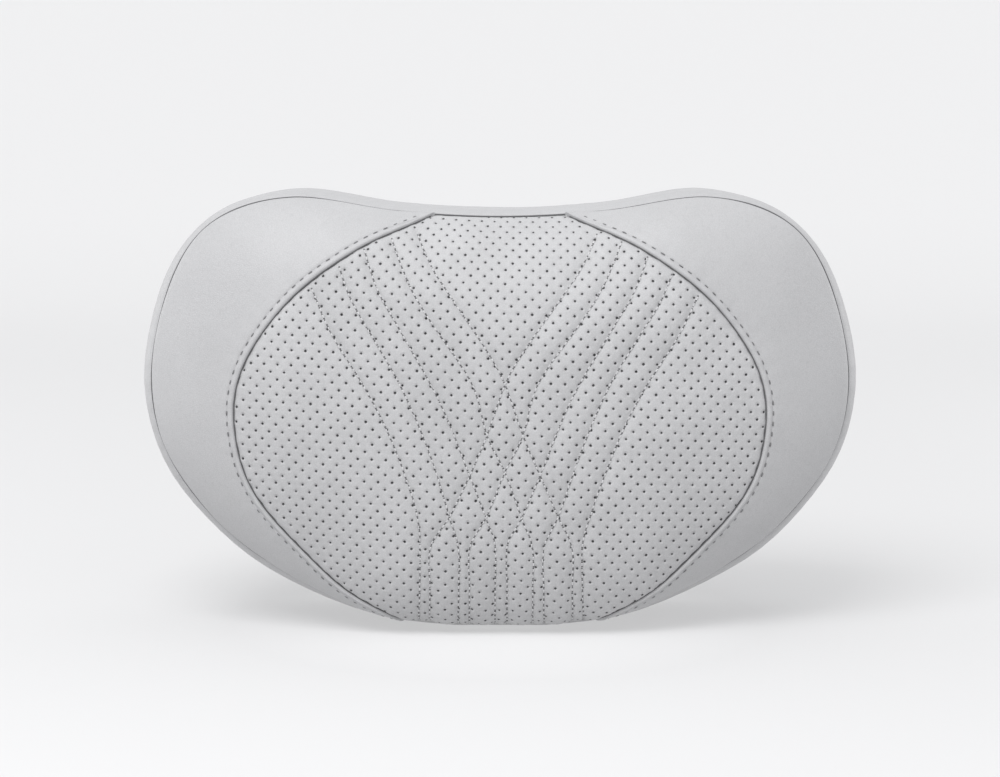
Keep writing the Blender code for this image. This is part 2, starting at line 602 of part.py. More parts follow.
def make_housing_half(name, wall_y, part_y, slot):
    """A tray with an outward flange at the parting line; wall_y is its closed face."""
    inward = math.copysign(HOUSE_WALL, part_y - wall_y)
    gap = math.copysign(SEAM_GAP / 2, part_y - wall_y)
    edge = part_y - gap
    step = edge - math.copysign(FLANGE_THICK, inward)

    def loop(grow, y):
        return [(x, y, z) for x, z in housing_outline(grow)]

    bm = bmesh.new()
    rings = joined(bm, [loop(0.0, wall_y), loop(0.0, step), loop(FLANGE, step), loop(FLANGE, edge),
                        loop(-HOUSE_WALL, edge), loop(-HOUSE_WALL, wall_y + inward)])
    bm.faces.new(rings[0])
    bm.faces.new(rings[-1])
    return to_mesh(name, bm, slot)


def make_housing():
    """Front and rear trays, their screws, and the block that carries the worm's upper end."""
    heads = ((HEAD_X, HEAD_Z), (-HEAD_X, HEAD_Z))
    front = make_housing_half("front_housing", HOUSE_FRONT, GEAR_Y, "grey_plastic")
    rear = make_housing_half("rear_housing", HOUSE_REAR, GEAR_Y, "grey_plastic")
    low, high = GEAR_Y - 6.0, GEAR_Y + 6.0
    boolean(front, drill("bush_hole_cutter", BUSH_HOLE_R, HOUSE_FRONT - 4.0, HOUSE_FRONT + 6.0,
                         heads, 24))
    screw_holes = drill("screw_hole_cutter", SCREW_HOLE_R, low, high, screw_places())
    boolean(front, screw_holes)
    boolean(rear, screw_holes)
    for side, sign in (("left", -1), ("right", 1)):
        sleeve = tube_profile(SHAFT_R + RUNNING, BOSS_R, BOSS_FRONT, HOUSE_REAR - 1.0)
        boss = lathe(side + "_boss_tool", sleeve, "Y", (sign * HEAD_X, 0.0, HEAD_Z), None, 24)
        boolean(rear, guide(boss), "UNION")
    entry = lathe("lead_hole_cutter", rod_profile(LEAD_R + 0.5, 90.0, 104.0), "X",
                  (0.0, LEAD_Y, LEAD_Z), None, 12)
    boolean(rear, guide(entry))
    head = FLANGE_THICK + SCREW_HEAD
    profile = [(0.0, -SCREW_REACH), (SCREW_R, -SCREW_REACH), (SCREW_R, FLANGE_THICK),
               (SCREW_HEAD_R, FLANGE_THICK), (SCREW_HEAD_R, head), (0.0, head)]
    for number, (x, z) in enumerate(screw_places(), 1):
        lathe(f"housing_screw_{number}", profile, "Y", (x, GEAR_Y + SEAM_GAP, z), "steel", 12)
    bearing = box("worm_bearing_block",
                  (-BLOCK_HALF_X, HOUSE_FRONT + HOUSE_WALL + SEAM_GAP, BLOCK_LOW),
                  (BLOCK_HALF_X, BLOCK_REAR, BLOCK_HIGH), "nylon")
    hole = lathe("bearing_hole_cutter",
                 rod_profile(MOTOR_SHAFT_R + RUNNING, BLOCK_LOW - 7.0, BLOCK_HIGH + 8.0), "Z",
                 (0.0, GEAR_Y, 0.0), None, 16)
    boolean(bearing, guide(hole))


# ---------------------------------------------------------------- motor and worm
def make_motor():
    """Can, end cap, two magnets, two rubber rings, and the rotor on its shaft."""
    centre = (0.0, GEAR_Y, 0.0)
    hole = MOTOR_SHAFT_R + RUNNING
    mouth = MOTOR_LOW + END_CAP
    cup = [(hole, MOTOR_HIGH), (MOTOR_R, MOTOR_HIGH), (MOTOR_R, mouth), (MOTOR_R - MOTOR_WALL, mouth),
           (MOTOR_R - MOTOR_WALL, MOTOR_HIGH - MOTOR_WALL), (hole, MOTOR_HIGH - MOTOR_WALL)]
    lathe("motor_can", cup, "Z", centre, "steel")
    cap_r, cap_top = MOTOR_R - SEAM_GAP, mouth - SEAM_GAP
    cap = [(0.0, MOTOR_LOW), (MOTOR_R - 3.0, MOTOR_LOW), (cap_r, MOTOR_LOW + 2.0), (cap_r, cap_top),
           (0.0, cap_top)]
    lathe("motor_end_cap", cap, "Z", centre, "black_plastic")
    inner = MOTOR_R + 0.2
    for name, low in RING_LOWS:
        lathe(f"motor_ring_{name}", tube_profile(inner, inner + RING_THICK, low, low + RING_WIDTH),
              "Z", centre, "rubber")
    for side, start in (("left", 180.0 - MAGNET_ARC / 2), ("right", -MAGNET_ARC / 2)):
        arc = [math.radians(start + MAGNET_ARC * step / 8) for step in range(9)]
        outline = [(MAGNET_OUTER * math.cos(a), MAGNET_OUTER * math.sin(a)) for a in arc]
        outline += [(MAGNET_INNER * math.cos(a), MAGNET_INNER * math.sin(a)) for a in reversed(arc)]
        prism("motor_magnet_" + side, outline, MAGNET_LOW, MAGNET_HIGH, "black_plastic", "Z", centre)
    lathe("armature", tube_profile(hole, ARMATURE_R, ARMATURE_LOW, ARMATURE_HIGH), "Z", centre, "brass")
    lathe("motor_shaft", rod_profile(MOTOR_SHAFT_R, MOTOR_SHAFT_LOW, MOTOR_SHAFT_HIGH), "Z", centre,
          "steel", 16)


def make_worm():
    """Right-handed single-start worm; on its +X side a thread is centred on the shafts' height."""
    half = WORM_LEAD * TOOTH_SHARE / 2
    crest = half - ADDENDUM * PRESSURE
    foot = half + DEDENDUM * PRESSURE
    profile = ((-foot, WORM_PITCH_R - DEDENDUM), (-crest, WORM_PITCH_R + ADDENDUM),
               (crest, WORM_PITCH_R + ADDENDUM), (foot, WORM_PITCH_R - DEDENDUM))
    steps, turns = WORM_STEPS, WORM_TURNS
    bm = bmesh.new()
    grid = []
    for step in range(steps * turns + 1):
        angle = math.tau * step / steps
        rise = WORM_LEAD * (step / steps - turns / 2)
        grid.append([bm.verts.new((radius * math.cos(angle), radius * math.sin(angle), rise + along))
                     for along, radius in profile])
    for step in range(steps * turns):
        for j in range(len(profile) - 1):
            bm.faces.new((grid[step][j], grid[step + 1][j], grid[step + 1][j + 1], grid[step][j + 1]))
    for step in range(steps * (turns - 1)):
        bm.faces.new((grid[step][-1], grid[step + 1][-1], grid[step + 1 + steps][0],
                      grid[step + steps][0]))
    low = [grid[step][0] for step in range(steps + 1)] + list(reversed(grid[0]))[:-1]
    high = [grid[-1 - step][-1] for step in range(steps + 1)] + grid[-1][:-1]
    for border in (low, high):
        tip = bm.verts.new((0.0, 0.0, sum(v.co.z for v in border) / len(border)))
        for i, corner in enumerate(border):
            bm.faces.new((corner, border[(i + 1) % len(border)], tip))
    worm = to_mesh("worm", bm, "brass", (0.0, GEAR_Y, HEAD_Z))
    bore = lathe("worm_bore_cutter", rod_profile(MOTOR_SHAFT_R + RUNNING, -40.0, 40.0), "Z",
                 (0.0, GEAR_Y, HEAD_Z), None, 16)
    boolean(worm, guide(bore))


def wheel_outline(first):
    """Tooth corners as (angle, radius); a tooth is centred on the angle first."""
    half = WORM_LEAD * TOOTH_SHARE / 2
    corners = ((-half - DEDENDUM * PRESSURE, -DEDENDUM), (-half + ADDENDUM * PRESSURE, ADDENDUM),
               (half - ADDENDUM * PRESSURE, ADDENDUM), (half + DEDENDUM * PRESSURE, -DEDENDUM))
    points = []
    for tooth in range(WHEEL_TEETH):
        middle = first + math.tau * tooth / WHEEL_TEETH
        for across, up in corners:
            points.append((middle + across / WHEEL_PITCH_R, WHEEL_PITCH_R + up))
    return points


def make_wheel(side, sign):
    """Worm wheel with a hub. Its teeth lean with the worm's thread."""
    first = 0.0 if sign < 0 else math.pi + math.pi / WHEEL_TEETH
    lean = WORM_LEAD / (math.tau * WORM_PITCH_R) / WHEEL_PITCH_R
    face, hub, hub_r = GEAR_WIDTH / 2, WHEEL_HUB_HALF, WHEEL_HUB_R
    rim = wheel_outline(first)
    steps = 24

    def teeth(y):
        return [(r * math.cos(a - lean * y), y, r * math.sin(a - lean * y)) for a, r in rim]

    def circle(radius, y):
        turn = [math.tau * i / steps for i in range(steps)]
        return [(radius * math.cos(a), y, radius * math.sin(a)) for a in turn]

    bm = bmesh.new()
    outer = joined(bm, [teeth(-face), teeth(face)])
    inner = joined(bm, [circle(hub_r, -face), circle(hub_r, -hub), circle(SHAFT_R + RUNNING, -hub),
                        circle(SHAFT_R + RUNNING, hub), circle(hub_r, hub), circle(hub_r, face)])
    for rim_loop, hub_loop in ((outer[0], inner[0]), (outer[1], inner[-1])):
        edges = []
        for loop in (rim_loop, hub_loop):
            for i, corner in enumerate(loop):
                edges.append(bm.edges.get((corner, loop[(i + 1) % len(loop)])))
        bmesh.ops.triangle_fill(bm, edges=edges, use_beauty=True)
    to_mesh(side + "_worm_wheel", bm, "nylon", (sign * HEAD_X, GEAR_Y, HEAD_Z))


# ---------------------------------------------------------------- kneading heads
def make_head(side, sign):
    """Output shaft, bush, carrier and its screw, and two kneading nodes on their pins."""
    axis = (sign * HEAD_X, 0.0, HEAD_Z)
    make_wheel(side, sign)
    back, tip = HOUSE_REAR - HOUSE_WALL - 0.5, CARRIER_FRONT + SEAM_GAP
    tap = tip + CARRIER_SCREW_REACH + 1.0
    lathe(side + "_output_shaft",
          [(0.0, back), (SHAFT_R, back), (SHAFT_R, tip), (SHAFT_TAP_R, tip), (SHAFT_TAP_R, tap),
           (0.0, tap)], "Y", axis, "steel")
    seat = HOUSE_FRONT - SEAM_GAP
    flange, reach = seat - BUSH_FLANGE, HOUSE_FRONT + BUSH_REACH
    lathe(side + "_shaft_bush",
          [(SHAFT_R + RUNNING, flange), (BUSH_FLANGE_R, flange), (BUSH_FLANGE_R, seat),
           (BUSH_R, seat), (BUSH_R, reach), (SHAFT_R + RUNNING, reach)], "Y", axis, "brass")
    top, seat = CARRIER_FRONT - CARRIER_SCREW_TOP, CARRIER_FRONT - SEAM_GAP
    reach = CARRIER_FRONT + CARRIER_SCREW_REACH
    lathe(side + "_carrier_screw",
          [(0.0, top), (CARRIER_SCREW_FACE_R, top), (CARRIER_SCREW_HEAD_R, seat),
           (CARRIER_SCREW_R, seat), (CARRIER_SCREW_R, reach), (0.0, reach)], "Y", axis, "steel", 16)

    turn = NODE_TURN if sign < 0 else math.pi - NODE_TURN
    arm = Vector((math.cos(turn), math.sin(turn)))
    ends = []
    for end in (0, 1):
        for step in range(9):
            angle = turn + math.pi * (end + step / 8 - 0.5)
            offset = arm * NODE_ORBIT * (1 - 2 * end)
            ends.append((offset.x + CARRIER_HALF * math.cos(angle),
                         offset.y + CARRIER_HALF * math.sin(angle)))
    carrier = prism(side + "_carrier", ends, CARRIER_FRONT, CARRIER_BACK, "grey_plastic", "Y", axis)
    hub = lathe(side + "_carrier_bore_cutter",
                rod_profile(SHAFT_R + RUNNING, CARRIER_FRONT - 3.0, CARRIER_BACK + 3.0), "Y", axis,
                None, 24)
    boolean(carrier, guide(hub))
    spots = [(axis[0] + k * arm.x * NODE_ORBIT, HEAD_Z + k * arm.y * NODE_ORBIT) for k in (1, -1)]
    boolean(carrier, drill(side + "_pin_hole_cutter", PIN_HOLE_R, CARRIER_FRONT - 3.0,
                           CARRIER_BACK + 3.0, spots))
    for number, (x, z) in enumerate(spots, 1):
        make_node(f"{side}_node_{number}", x, z)


def make_node(name, x, z):
    """A round kneading node that turns on a headed pin through the carrier."""
    stop = math.acos(-NODE_BACK / NODE_RADIUS)
    profile = [(NODE_RADIUS * math.sin(a), -NODE_RADIUS * math.cos(a))
               for a in (stop * i / 9 for i in range(10))]
    profile[0] = (0.0, -NODE_RADIUS)
    profile += [(NODE_BORE, NODE_BACK), (NODE_BORE, NODE_REACH), (0.0, NODE_REACH)]
    lathe(name, profile, "Y", (x, NODE_Y, z), "node_plastic", 18)
    tip, seat = NODE_Y + NODE_REACH + 0.4, CARRIER_BACK + SEAM_GAP
    lathe(name + "_pin",
          [(0.0, tip), (PIN_R, tip), (PIN_R, seat), (PIN_HEAD_R, seat),
           (PIN_HEAD_R, seat + PIN_HEAD), (0.0, seat + PIN_HEAD)], "Y", (x, 0.0, z), "steel", 16)


# ---------------------------------------------------------------- controls
def make_controls():
    """Bezel, button, light ring, jack, switch, board, box and the lead to the motor."""
    face = box_outline(PANEL_Y, PANEL_Z, PANEL_HALF_Y, PANEL_HALF_Z, PANEL_CORNER)
    bezel = prism("control_bezel", face, PANEL_BACK, PANEL_FACE, "black_plastic", "X")
    for name, z, radius in (("ring", BUTTON_Z, LIGHT_RING_OUTER + SEAM_GAP),
                            ("jack", JACK_Z, JACK_R + SEAM_GAP)):
        hole = lathe(name + "_hole_cutter", rod_profile(radius, 160.0, 172.0), "X",
                     (0.0, PANEL_Y, z), None, 20)
        boolean(bezel, guide(hole))
    lathe("button_light_ring",
          tube_profile(LIGHT_RING_INNER, LIGHT_RING_OUTER, PANEL_BACK, PANEL_FACE + 0.3),
          "X", (0.0, PANEL_Y, BUTTON_Z), "light", 20)
    lathe("power_button",
          [(0.0, -BUTTON_STEM), (BUTTON_STEM_R, -BUTTON_STEM), (BUTTON_STEM_R, -BUTTON_SKIRT),
           (BUTTON_R, -BUTTON_SKIRT), (BUTTON_R, -BUTTON_EDGE), (BUTTON_R - BUTTON_EDGE, 0.0),
           (0.0, 0.0)], "X", (BUTTON_TOP, PANEL_Y, BUTTON_Z), "grey_plastic", 20)

    board_face = BOARD_X + BOARD_THICK
    back, floor, face = board_face + SEAM_GAP, board_face + 1.4, PANEL_FACE - 0.2
    lathe("dc_jack",
          [(0.0, back), (JACK_R, back), (JACK_R, face), (JACK_BORE, face), (JACK_BORE, floor),
           (0.0, floor)], "X", (0.0, PANEL_Y, JACK_Z), "black_plastic", 16)
    high = board_face + SWITCH_HIGH
    switch = prism("tact_switch", box_outline(PANEL_Y, BUTTON_Z, SWITCH_HALF, SWITCH_HALF), back,
                   high, "black_plastic", "X")
    plunger = lathe("plunger_tool", rod_profile(PLUNGER_R, high - 1.0, high + PLUNGER_REACH), "X",
                    (0.0, PANEL_Y, BUTTON_Z), None, 12)
    boolean(switch, guide(plunger), "UNION")

    inner_y, inner_z = PANEL_HALF_Y - BOARD_INSET, PANEL_HALF_Z - BOARD_INSET
    prism("control_board", box_outline(PANEL_Y, PANEL_Z, inner_y, inner_z, BOARD_CORNER), BOARD_X,
          board_face, "board_green", "X")
    shell = prism("control_box",
                  box_outline(PANEL_Y, PANEL_Z, PANEL_HALF_Y + 1.0, PANEL_HALF_Z + 1.0, PANEL_CORNER),
                  BOX_X, BOX_OPEN_X, "grey_plastic", "X")
    room = prism("control_box_cutter",
                 box_outline(PANEL_Y, PANEL_Z, inner_y + 0.5, inner_z + 0.5, BOARD_CORNER),
                 BOX_X + BOX_WALL, PANEL_BACK + 5.0, None, "X")
    boolean(shell, guide(room))
    exit_hole = lathe("box_hole_cutter", rod_profile(LEAD_R + 0.5, BOX_X - 4.0, BOX_X + 4.0), "X",
                      (0.0, LEAD_Y, LEAD_Z), None, 12)
    boolean(shell, guide(exit_hole))
    make_lead()


def make_lead():
    """Two-core lead from the board, through the foam and the housing, to the motor's terminals."""
    route = ((BOARD_X - 0.4, LEAD_Y, LEAD_Z), (130.0, LEAD_Y, LEAD_Z), (104.0, LEAD_Y, LEAD_Z),
             (94.0, LEAD_Y, LEAD_Z), (84.0, 26.0, 98.0), (70.0, 31.0, 90.0), (40.0, 32.0, 78.0),
             (22.0, 32.0, 76.0), (18.3, 31.5, 66.0), (18.3, 31.5, 34.0), (15.0, 27.0, 22.0),
             (8.0, GEAR_Y + 5.0, 21.6), (5.0, GEAR_Y + 4.0, 22.0))
    curve = bpy.data.curves.new("motor_lead", "CURVE")
    curve.dimensions = "3D"
    curve.bevel_depth = LEAD_R * MM
    curve.bevel_resolution = 2
    curve.use_fill_caps = True
    spline = curve.splines.new("POLY")
    line = smooth_line(route, 4, False)
    spline.points.add(len(line) - 1)
    for point, place in zip(spline.points, line):
        point.co = (*(place * MM), 1.0)
    curve.materials.append(material("motor_lead", "rubber"))
    bpy.context.scene.collection.objects.link(bpy.data.objects.new("motor_lead", curve))


def main():
    for old in list(bpy.data.objects):
        bpy.data.objects.remove(old)
    make_front_panels()
    make_gusset()
    make_rear_panel()
    make_strap()
    make_zip()
    make_foam()
    make_housing()
    make_motor()
    make_worm()
    make_head("left", -1)
    make_head("right", 1)
    make_controls()


main()
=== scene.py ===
"""Looks of the shiatsu neck massager: quilted perforated leather, seams, stitches, zip and controls.

Shapes are worked out in millimetres, in the frame of the CAD model, and become metres in add_mesh().
The front face is drawn in a flat pattern plane, like the leather before it is stretched over the
pad: a point of the pattern is an (x, z) pair whose distance from CENTRE is measured along the
domed surface. The panels, their stitches and their perforation all share that pattern.
"""

import json
import math

import bmesh
import bpy
import numpy as np
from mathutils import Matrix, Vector
from mathutils.bvhtree import BVHTree
from mathutils.geometry import delaunay_2d_cdt

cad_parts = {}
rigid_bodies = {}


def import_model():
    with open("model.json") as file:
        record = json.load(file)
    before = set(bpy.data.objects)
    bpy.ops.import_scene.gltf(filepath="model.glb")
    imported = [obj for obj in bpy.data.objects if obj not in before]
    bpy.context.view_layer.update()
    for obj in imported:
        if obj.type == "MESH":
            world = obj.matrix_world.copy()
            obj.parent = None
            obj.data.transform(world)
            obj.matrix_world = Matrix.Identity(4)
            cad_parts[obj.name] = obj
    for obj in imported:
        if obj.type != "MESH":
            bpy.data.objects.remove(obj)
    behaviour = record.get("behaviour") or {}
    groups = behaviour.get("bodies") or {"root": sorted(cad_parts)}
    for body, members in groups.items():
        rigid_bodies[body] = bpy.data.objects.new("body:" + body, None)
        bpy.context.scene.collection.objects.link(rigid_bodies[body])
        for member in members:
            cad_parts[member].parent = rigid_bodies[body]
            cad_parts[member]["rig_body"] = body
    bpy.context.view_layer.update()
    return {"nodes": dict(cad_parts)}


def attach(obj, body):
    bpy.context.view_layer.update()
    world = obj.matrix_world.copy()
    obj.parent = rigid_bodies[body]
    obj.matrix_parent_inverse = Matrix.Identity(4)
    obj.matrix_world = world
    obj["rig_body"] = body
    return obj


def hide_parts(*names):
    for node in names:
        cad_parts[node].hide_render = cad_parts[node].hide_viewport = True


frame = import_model()
MM = 0.001

# ---- Pillow shape, as in the CAD model ----
CENTRE = np.array((0.0, 105.0))
HALF_OUTLINE = ((22.0, 0.0), (69.0, 8.0), (122.0, 35.0), (158.0, 75.0), (170.0, 118.0),
                (160.0, 167.0), (136.0, 198.0), (98.0, 209.5), (48.0, 203.0), (0.0, 200.5))
RIM_INSET, TOP_INSET = 4.5, 2.7     # the rim seams lie this far inside the gusset's bulge
GUSSET_FLAT = 0.55
FRONT_SEAM_Y, REAR_SEAM_Y = -24.0, 34.0
FRONT_Y, REAR_Y = -57.5, 54.0
REAR_FLAT = 0.88
SIDE_POWER, BOTTOM_POWER = 0.8, 0.5
BELLY = 2.6                 # the front panel sags this far below its rim, only at the bottom

# ---- Sewing ----
SEAM_HALF = ((8.0, 209.0), (36.5, 196.5), (67.0, 182.5), (97.5, 159.5), (119.5, 128.5),
             (124.0, 98.5), (113.5, 65.0), (79.5, 28.0), (48.0, 9.0), (20.0, -6.0))
# The quilting's middle line leans: its x at some heights
QUILT_MIDDLE = ((0.5, 45.0), (1.9, 60.0), (2.3, 80.0), (2.3, 121.0), (3.4, 190.0))
# Each line as (distance from the middle line, z), sewn once as it is and once mirrored
QUILT_LINES = (
    ((-42.0, 191.0), (-34.2, 174.5), (-23.5, 158.5), (-8.8, 137.0), (0.0, 121.0), (8.3, 97.5),
     (16.6, 78.0), (25.0, 59.5), (33.0, 44.0), (33.2, 23.5), (33.2, 3.0)),
    ((-54.0, 189.0), (-44.2, 166.0), (-33.8, 149.0), (-15.3, 121.5), (-8.3, 97.5), (0.0, 80.3),
     (8.3, 58.5), (14.6, 44.0), (14.7, 23.5), (14.7, 3.0)),
    ((-67.0, 186.0), (-59.0, 164.0), (-49.8, 148.0), (-30.6, 114.0), (-16.8, 80.0), (-8.3, 58.5),
     (-2.8, 45.0), (-2.8, 23.5), (-2.8, 3.0)),
    ((-79.0, 180.0), (-72.0, 161.0), (-60.8, 142.0), (-47.2, 118.5), (-34.7, 88.5),
     (-25.4, 59.5), (-19.9, 44.0), (-19.9, 23.5), (-19.9, 3.0)),
    ((-92.0, 170.0), (-80.8, 145.0), (-65.1, 120.0), (-54.2, 99.0), (-45.2, 75.5),
     (-40.3, 59.4), (-37.9, 45.5), (-38.0, 23.4), (-38.3, 4.0)),
)
QUILT_DEPTH, QUILT_WIDTH, QUILT_PITCH, QUILT_STITCH = 1.8, 3.0, 3.2, 2.0
TOPSTITCH_OFFSET, TOPSTITCH_PITCH, TOPSTITCH_LENGTH = 3.1, 5.0, 2.6
THREAD_R, NEEDLE_HOLE_R = 0.33, 0.45
STITCH_SINK, STITCH_RISE = 0.35, 0.16   # a stitch's ends dive this deep, its middle stands proud
HOLE_PITCH_X, HOLE_PITCH_Z, HOLE_R, HOLE_DEPTH = 6.5, 7.0, 0.44, 0.9
HOLE_TILT = math.radians(-2.2)        # the perforated leather was cut slightly askew

# ---- Back and side fittings, as in the CAD model ----
NET_SHARE, NET_STEP = 0.865, 3.0        # the flat of the back is a net within this share
STRAP_Z, STRAP_WIDTH, STRAP_THICK = 120.0, 38.0, 1.6
STRAP_HALF, STRAP_TURN_X, STRAP_TURN = 163.0, 146.0, 14.0   # its ends turn down over the edge
STRAP_BOX_X, STRAP_BOX_HALF, STRAP_BOX_MARGIN = 144.0, 9.0, 3.5
ZIP_Z, ZIP_HALF, ZIP_TAPE, ZIP_TOOTH = 48.0, 100.0, 8.4, 1.5
PANEL_X, PANEL_Y, PANEL_Z = 168.0, 18.0, 118.0
PANEL_HALF_Y, PANEL_HALF_Z, PANEL_CORNER = 10.0, 21.0, 4.0
BUTTON_Z, JACK_Z = 128.0, 106.0


# ================================================================ curves
def unit(vectors):
    """The vectors at length 1."""
    return vectors / np.maximum(np.linalg.norm(vectors, axis=-1, keepdims=True), 1e-9)


def eased(value, start, span):
    """0 below start, 1 beyond start + span, and a smooth step between."""
    t = np.clip((value - start) / span, 0.0, 1.0)
    return t * t * (3.0 - 2.0 * t)


def gathers(along, pitch, drift, swing=2.0, start=0.0):
    """Uneven little gathers along a seam, from -1 to 1."""
    return np.sin(along * math.tau / pitch + start + swing * np.sin(along / drift))


def curve_through(points, steps, closed=False):
    """Catmull-Rom curve through points, steps to a span."""
    points = np.asarray(points, float)
    count = len(points)
    at = np.arange(count if closed else count - 1)
    pick = (lambda k: points[(at + k) % count]) if closed else (
        lambda k: points[np.clip(at + k, 0, count - 1)])
    a, b, c, d = (pick(k)[:, None, :] for k in (-1, 0, 1, 2))
    t = (np.arange(steps) / steps)[None, :, None]
    line = 0.5 * (2 * b + (c - a) * t + (2 * a - 5 * b + 4 * c - d) * t ** 2
                  + (3 * b - a - 3 * c + d) * t ** 3)
    line = line.reshape(-1, points.shape[1])
    return line if closed else np.vstack((line, points[-1:]))


def arc_length(line):
    steps = np.linalg.norm(np.diff(line, axis=0), axis=1)
    return np.concatenate(((0.0,), np.cumsum(steps)))


def at_lengths(line, lengths):
    """Points of a line at distances along it."""
    along = arc_length(line)
    return np.stack([np.interp(lengths, along, line[:, k]) for k in range(line.shape[1])], axis=1)


def resampled(line, count):
    return at_lengths(line, np.linspace(0.0, arc_length(line)[-1], count))


def closed_line(loop):
    """A loop with its first point repeated at the end."""
    return np.vstack((loop, loop[:1]))


def resampled_loop(loop, count):
    return resampled(closed_line(loop), count + 1)[:-1]


def left_of(line, closed=False):
    """Unit normals to the left of the way a 2-D line runs."""
    if closed:
        along = np.roll(line, -1, axis=0) - np.roll(line, 1, axis=0)
    else:
        along = np.gradient(line, axis=0)
    return unit(np.stack((-along[:, 1], along[:, 0]), axis=1))


def nearest(points, line):
    """Distance from each point to a 2-D line, and how far along the line the nearest spot is."""
    starts, sides = line[:-1], np.diff(line, axis=0)
    lengths = arc_length(line)
    square = (sides ** 2).sum(1)
    best = np.full(len(points), 1e9)
    where = np.zeros(len(points))
    for start, side, size, before in zip(starts, sides, square, lengths):
        offset = points - start
        t = np.clip((offset @ side) / size, 0.0, 1.0)
        gap = np.hypot(offset[:, 0] - t * side[0], offset[:, 1] - t * side[1])
        closer = gap < best
        best = np.where(closer, gap, best)
        where = np.where(closer, before + t * math.sqrt(size), where)
    return best, where


def inside(points, loop):
    """True for the points within a closed 2-D loop."""
    result = np.zeros(len(points), bool)
    for (ax, az), (bx, bz) in zip(loop, np.roll(loop, -1, axis=0)):
        if az == bz:
            continue
        crosses = (points[:, 1] > min(az, bz)) & (points[:, 1] <= max(az, bz))
        result ^= crosses & (points[:, 0] < ax + (points[:, 1] - az) * (bx - ax) / (bz - az))
    return result


def wobble(points, size, seed):
    """Smooth noise from about -1 to 1 on 2-D points: a few turned sine waves of about that size."""
    total = np.zeros(len(points))
    for k in range(7):
        turn = seed * 1.7 + k * 2.4
        rate = math.tau / (size * (0.75 + 0.13 * k))
        total += np.sin(rate * (points[:, 0] * math.cos(turn) + points[:, 1] * math.sin(turn))
                        + seed * 5.1 + k * 1.9)
    return total / 3.5


def round_box(half_a, half_b, corner, steps=8):
    """Anticlockwise outline of a rectangle with round corners, about the origin."""
    points = []
    for quarter, (sa, sb) in enumerate(((1, 1), (-1, 1), (-1, -1), (1, -1))):
        turn = math.pi / 2 * (quarter + np.linspace(0.0, 1.0, steps + 1))
        points.append(np.stack((sa * (half_a - corner) + corner * np.cos(turn),
                                sb * (half_b - corner) + corner * np.sin(turn)), axis=1))
    return np.vstack(points)


# ================================================================ pillow surfaces
def outline_loop():
    """The widest outline seen from the front, with its foot cut level."""
    left = [(-x, z) for x, z in reversed(HALF_OUTLINE[:-1])]
    loop = curve_through(HALF_OUTLINE + tuple(left), 24, closed=True)
    loop[:, 1] = np.maximum(loop[:, 1], 0.0)
    return loop


def rim_inset(inward):
    """The rim seam's inset for inward normals: less along the upper edge."""
    return RIM_INSET + (TOP_INSET - RIM_INSET) * eased(-inward[:, 1], 0.2, 0.6)


OUTLINE = outline_loop()
RIM = OUTLINE + left_of(OUTLINE, True) * rim_inset(left_of(OUTLINE, True))[:, None]
RIM_ANGLE = np.arctan2(RIM[:, 1] - CENTRE[1], RIM[:, 0])
RIM_REACH = np.hypot(RIM[:, 0], RIM[:, 1] - CENTRE[1])


def rim_reach(angle):
    """Distance from the centre to the rim seam, seen from the front."""
    return np.interp(angle, RIM_ANGLE, RIM_REACH, period=math.tau)


def turned_under(angle):
    """0 at the top and sides, up to 1 where the front face turns under the pillow."""
    return eased(-np.sin(angle), 0.5, 0.4)


def dome(share, angle):
    """Height of the front face over its seam, from 0 at the rim to 1 in the middle."""
    power = SIDE_POWER + (BOTTOM_POWER - SIDE_POWER) * turned_under(angle)
    return np.clip(1.0 - share ** 3, 0.0, 1.0) ** power


# Surface lengths along rays from the centre: a row for each direction, a column for each share.
RAYS = np.linspace(-math.pi, math.pi, 721)
SHARES = 1.0 - (1.0 - np.linspace(0.0, 1.0, 500)) ** 2


def arc_table():
    """Surface length from the centre, for each direction and share."""
    heights = (FRONT_SEAM_Y - FRONT_Y) * dome(SHARES[None], RAYS[:, None])
    out = rim_reach(RAYS)[:, None] * SHARES[None]
    steps = np.hypot(np.diff(out, axis=1), np.diff(heights, axis=1))
    return np.concatenate((np.zeros((len(RAYS), 1)), np.cumsum(steps, axis=1)), axis=1)


ARCS = arc_table()
LEVELS = np.linspace(0.0, 1.0, 500)
SHARE_AT = np.array([np.interp(LEVELS, row / row[-1], SHARES) for row in ARCS])


def in_table(table, angle, column):
    """Reads a table between its rows and columns; column runs from 0 to 1."""
    row = np.clip((angle + math.pi) / math.tau, 0.0, 1.0) * (len(RAYS) - 1.001)
    across = np.clip(column, 0.0, 1.0) * (table.shape[1] - 1.001)
    i, j = row.astype(int), across.astype(int)
    u, v = row - i, across - j
    return ((1 - u) * ((1 - v) * table[i, j] + v * table[i, j + 1])
            + u * ((1 - v) * table[i + 1, j] + v * table[i + 1, j + 1]))


def full_arc(angle):
    """Surface length from the centre to the rim."""
    return np.interp(angle, RAYS, ARCS[:, -1])


def polar(points):
    """Angle and distance of 2-D points about the centre."""
    offset = np.asarray(points, float) - CENTRE
    return np.arctan2(offset[:, 1], offset[:, 0]), np.hypot(offset[:, 0], offset[:, 1])


def ray_points(angle, far):
    return CENTRE + np.asarray(far)[:, None] * np.stack((np.cos(angle), np.sin(angle)), axis=1)


def to_pattern(points):
    """Pattern points of (x, z) points seen from the front."""
    angle, far = polar(points)
    reach = rim_reach(angle)
    share = far / reach
    column = 1.0 - np.sqrt(np.clip(1.0 - share, 0.0, 1.0))
    return ray_points(angle, in_table(ARCS, angle, column) + np.maximum(share - 1.0, 0.0) * reach)


def rim_gap(pattern):
    """How far a pattern point lies inside the rim seam, along the surface."""
    angle, far = polar(pattern)
    return full_arc(angle) - far


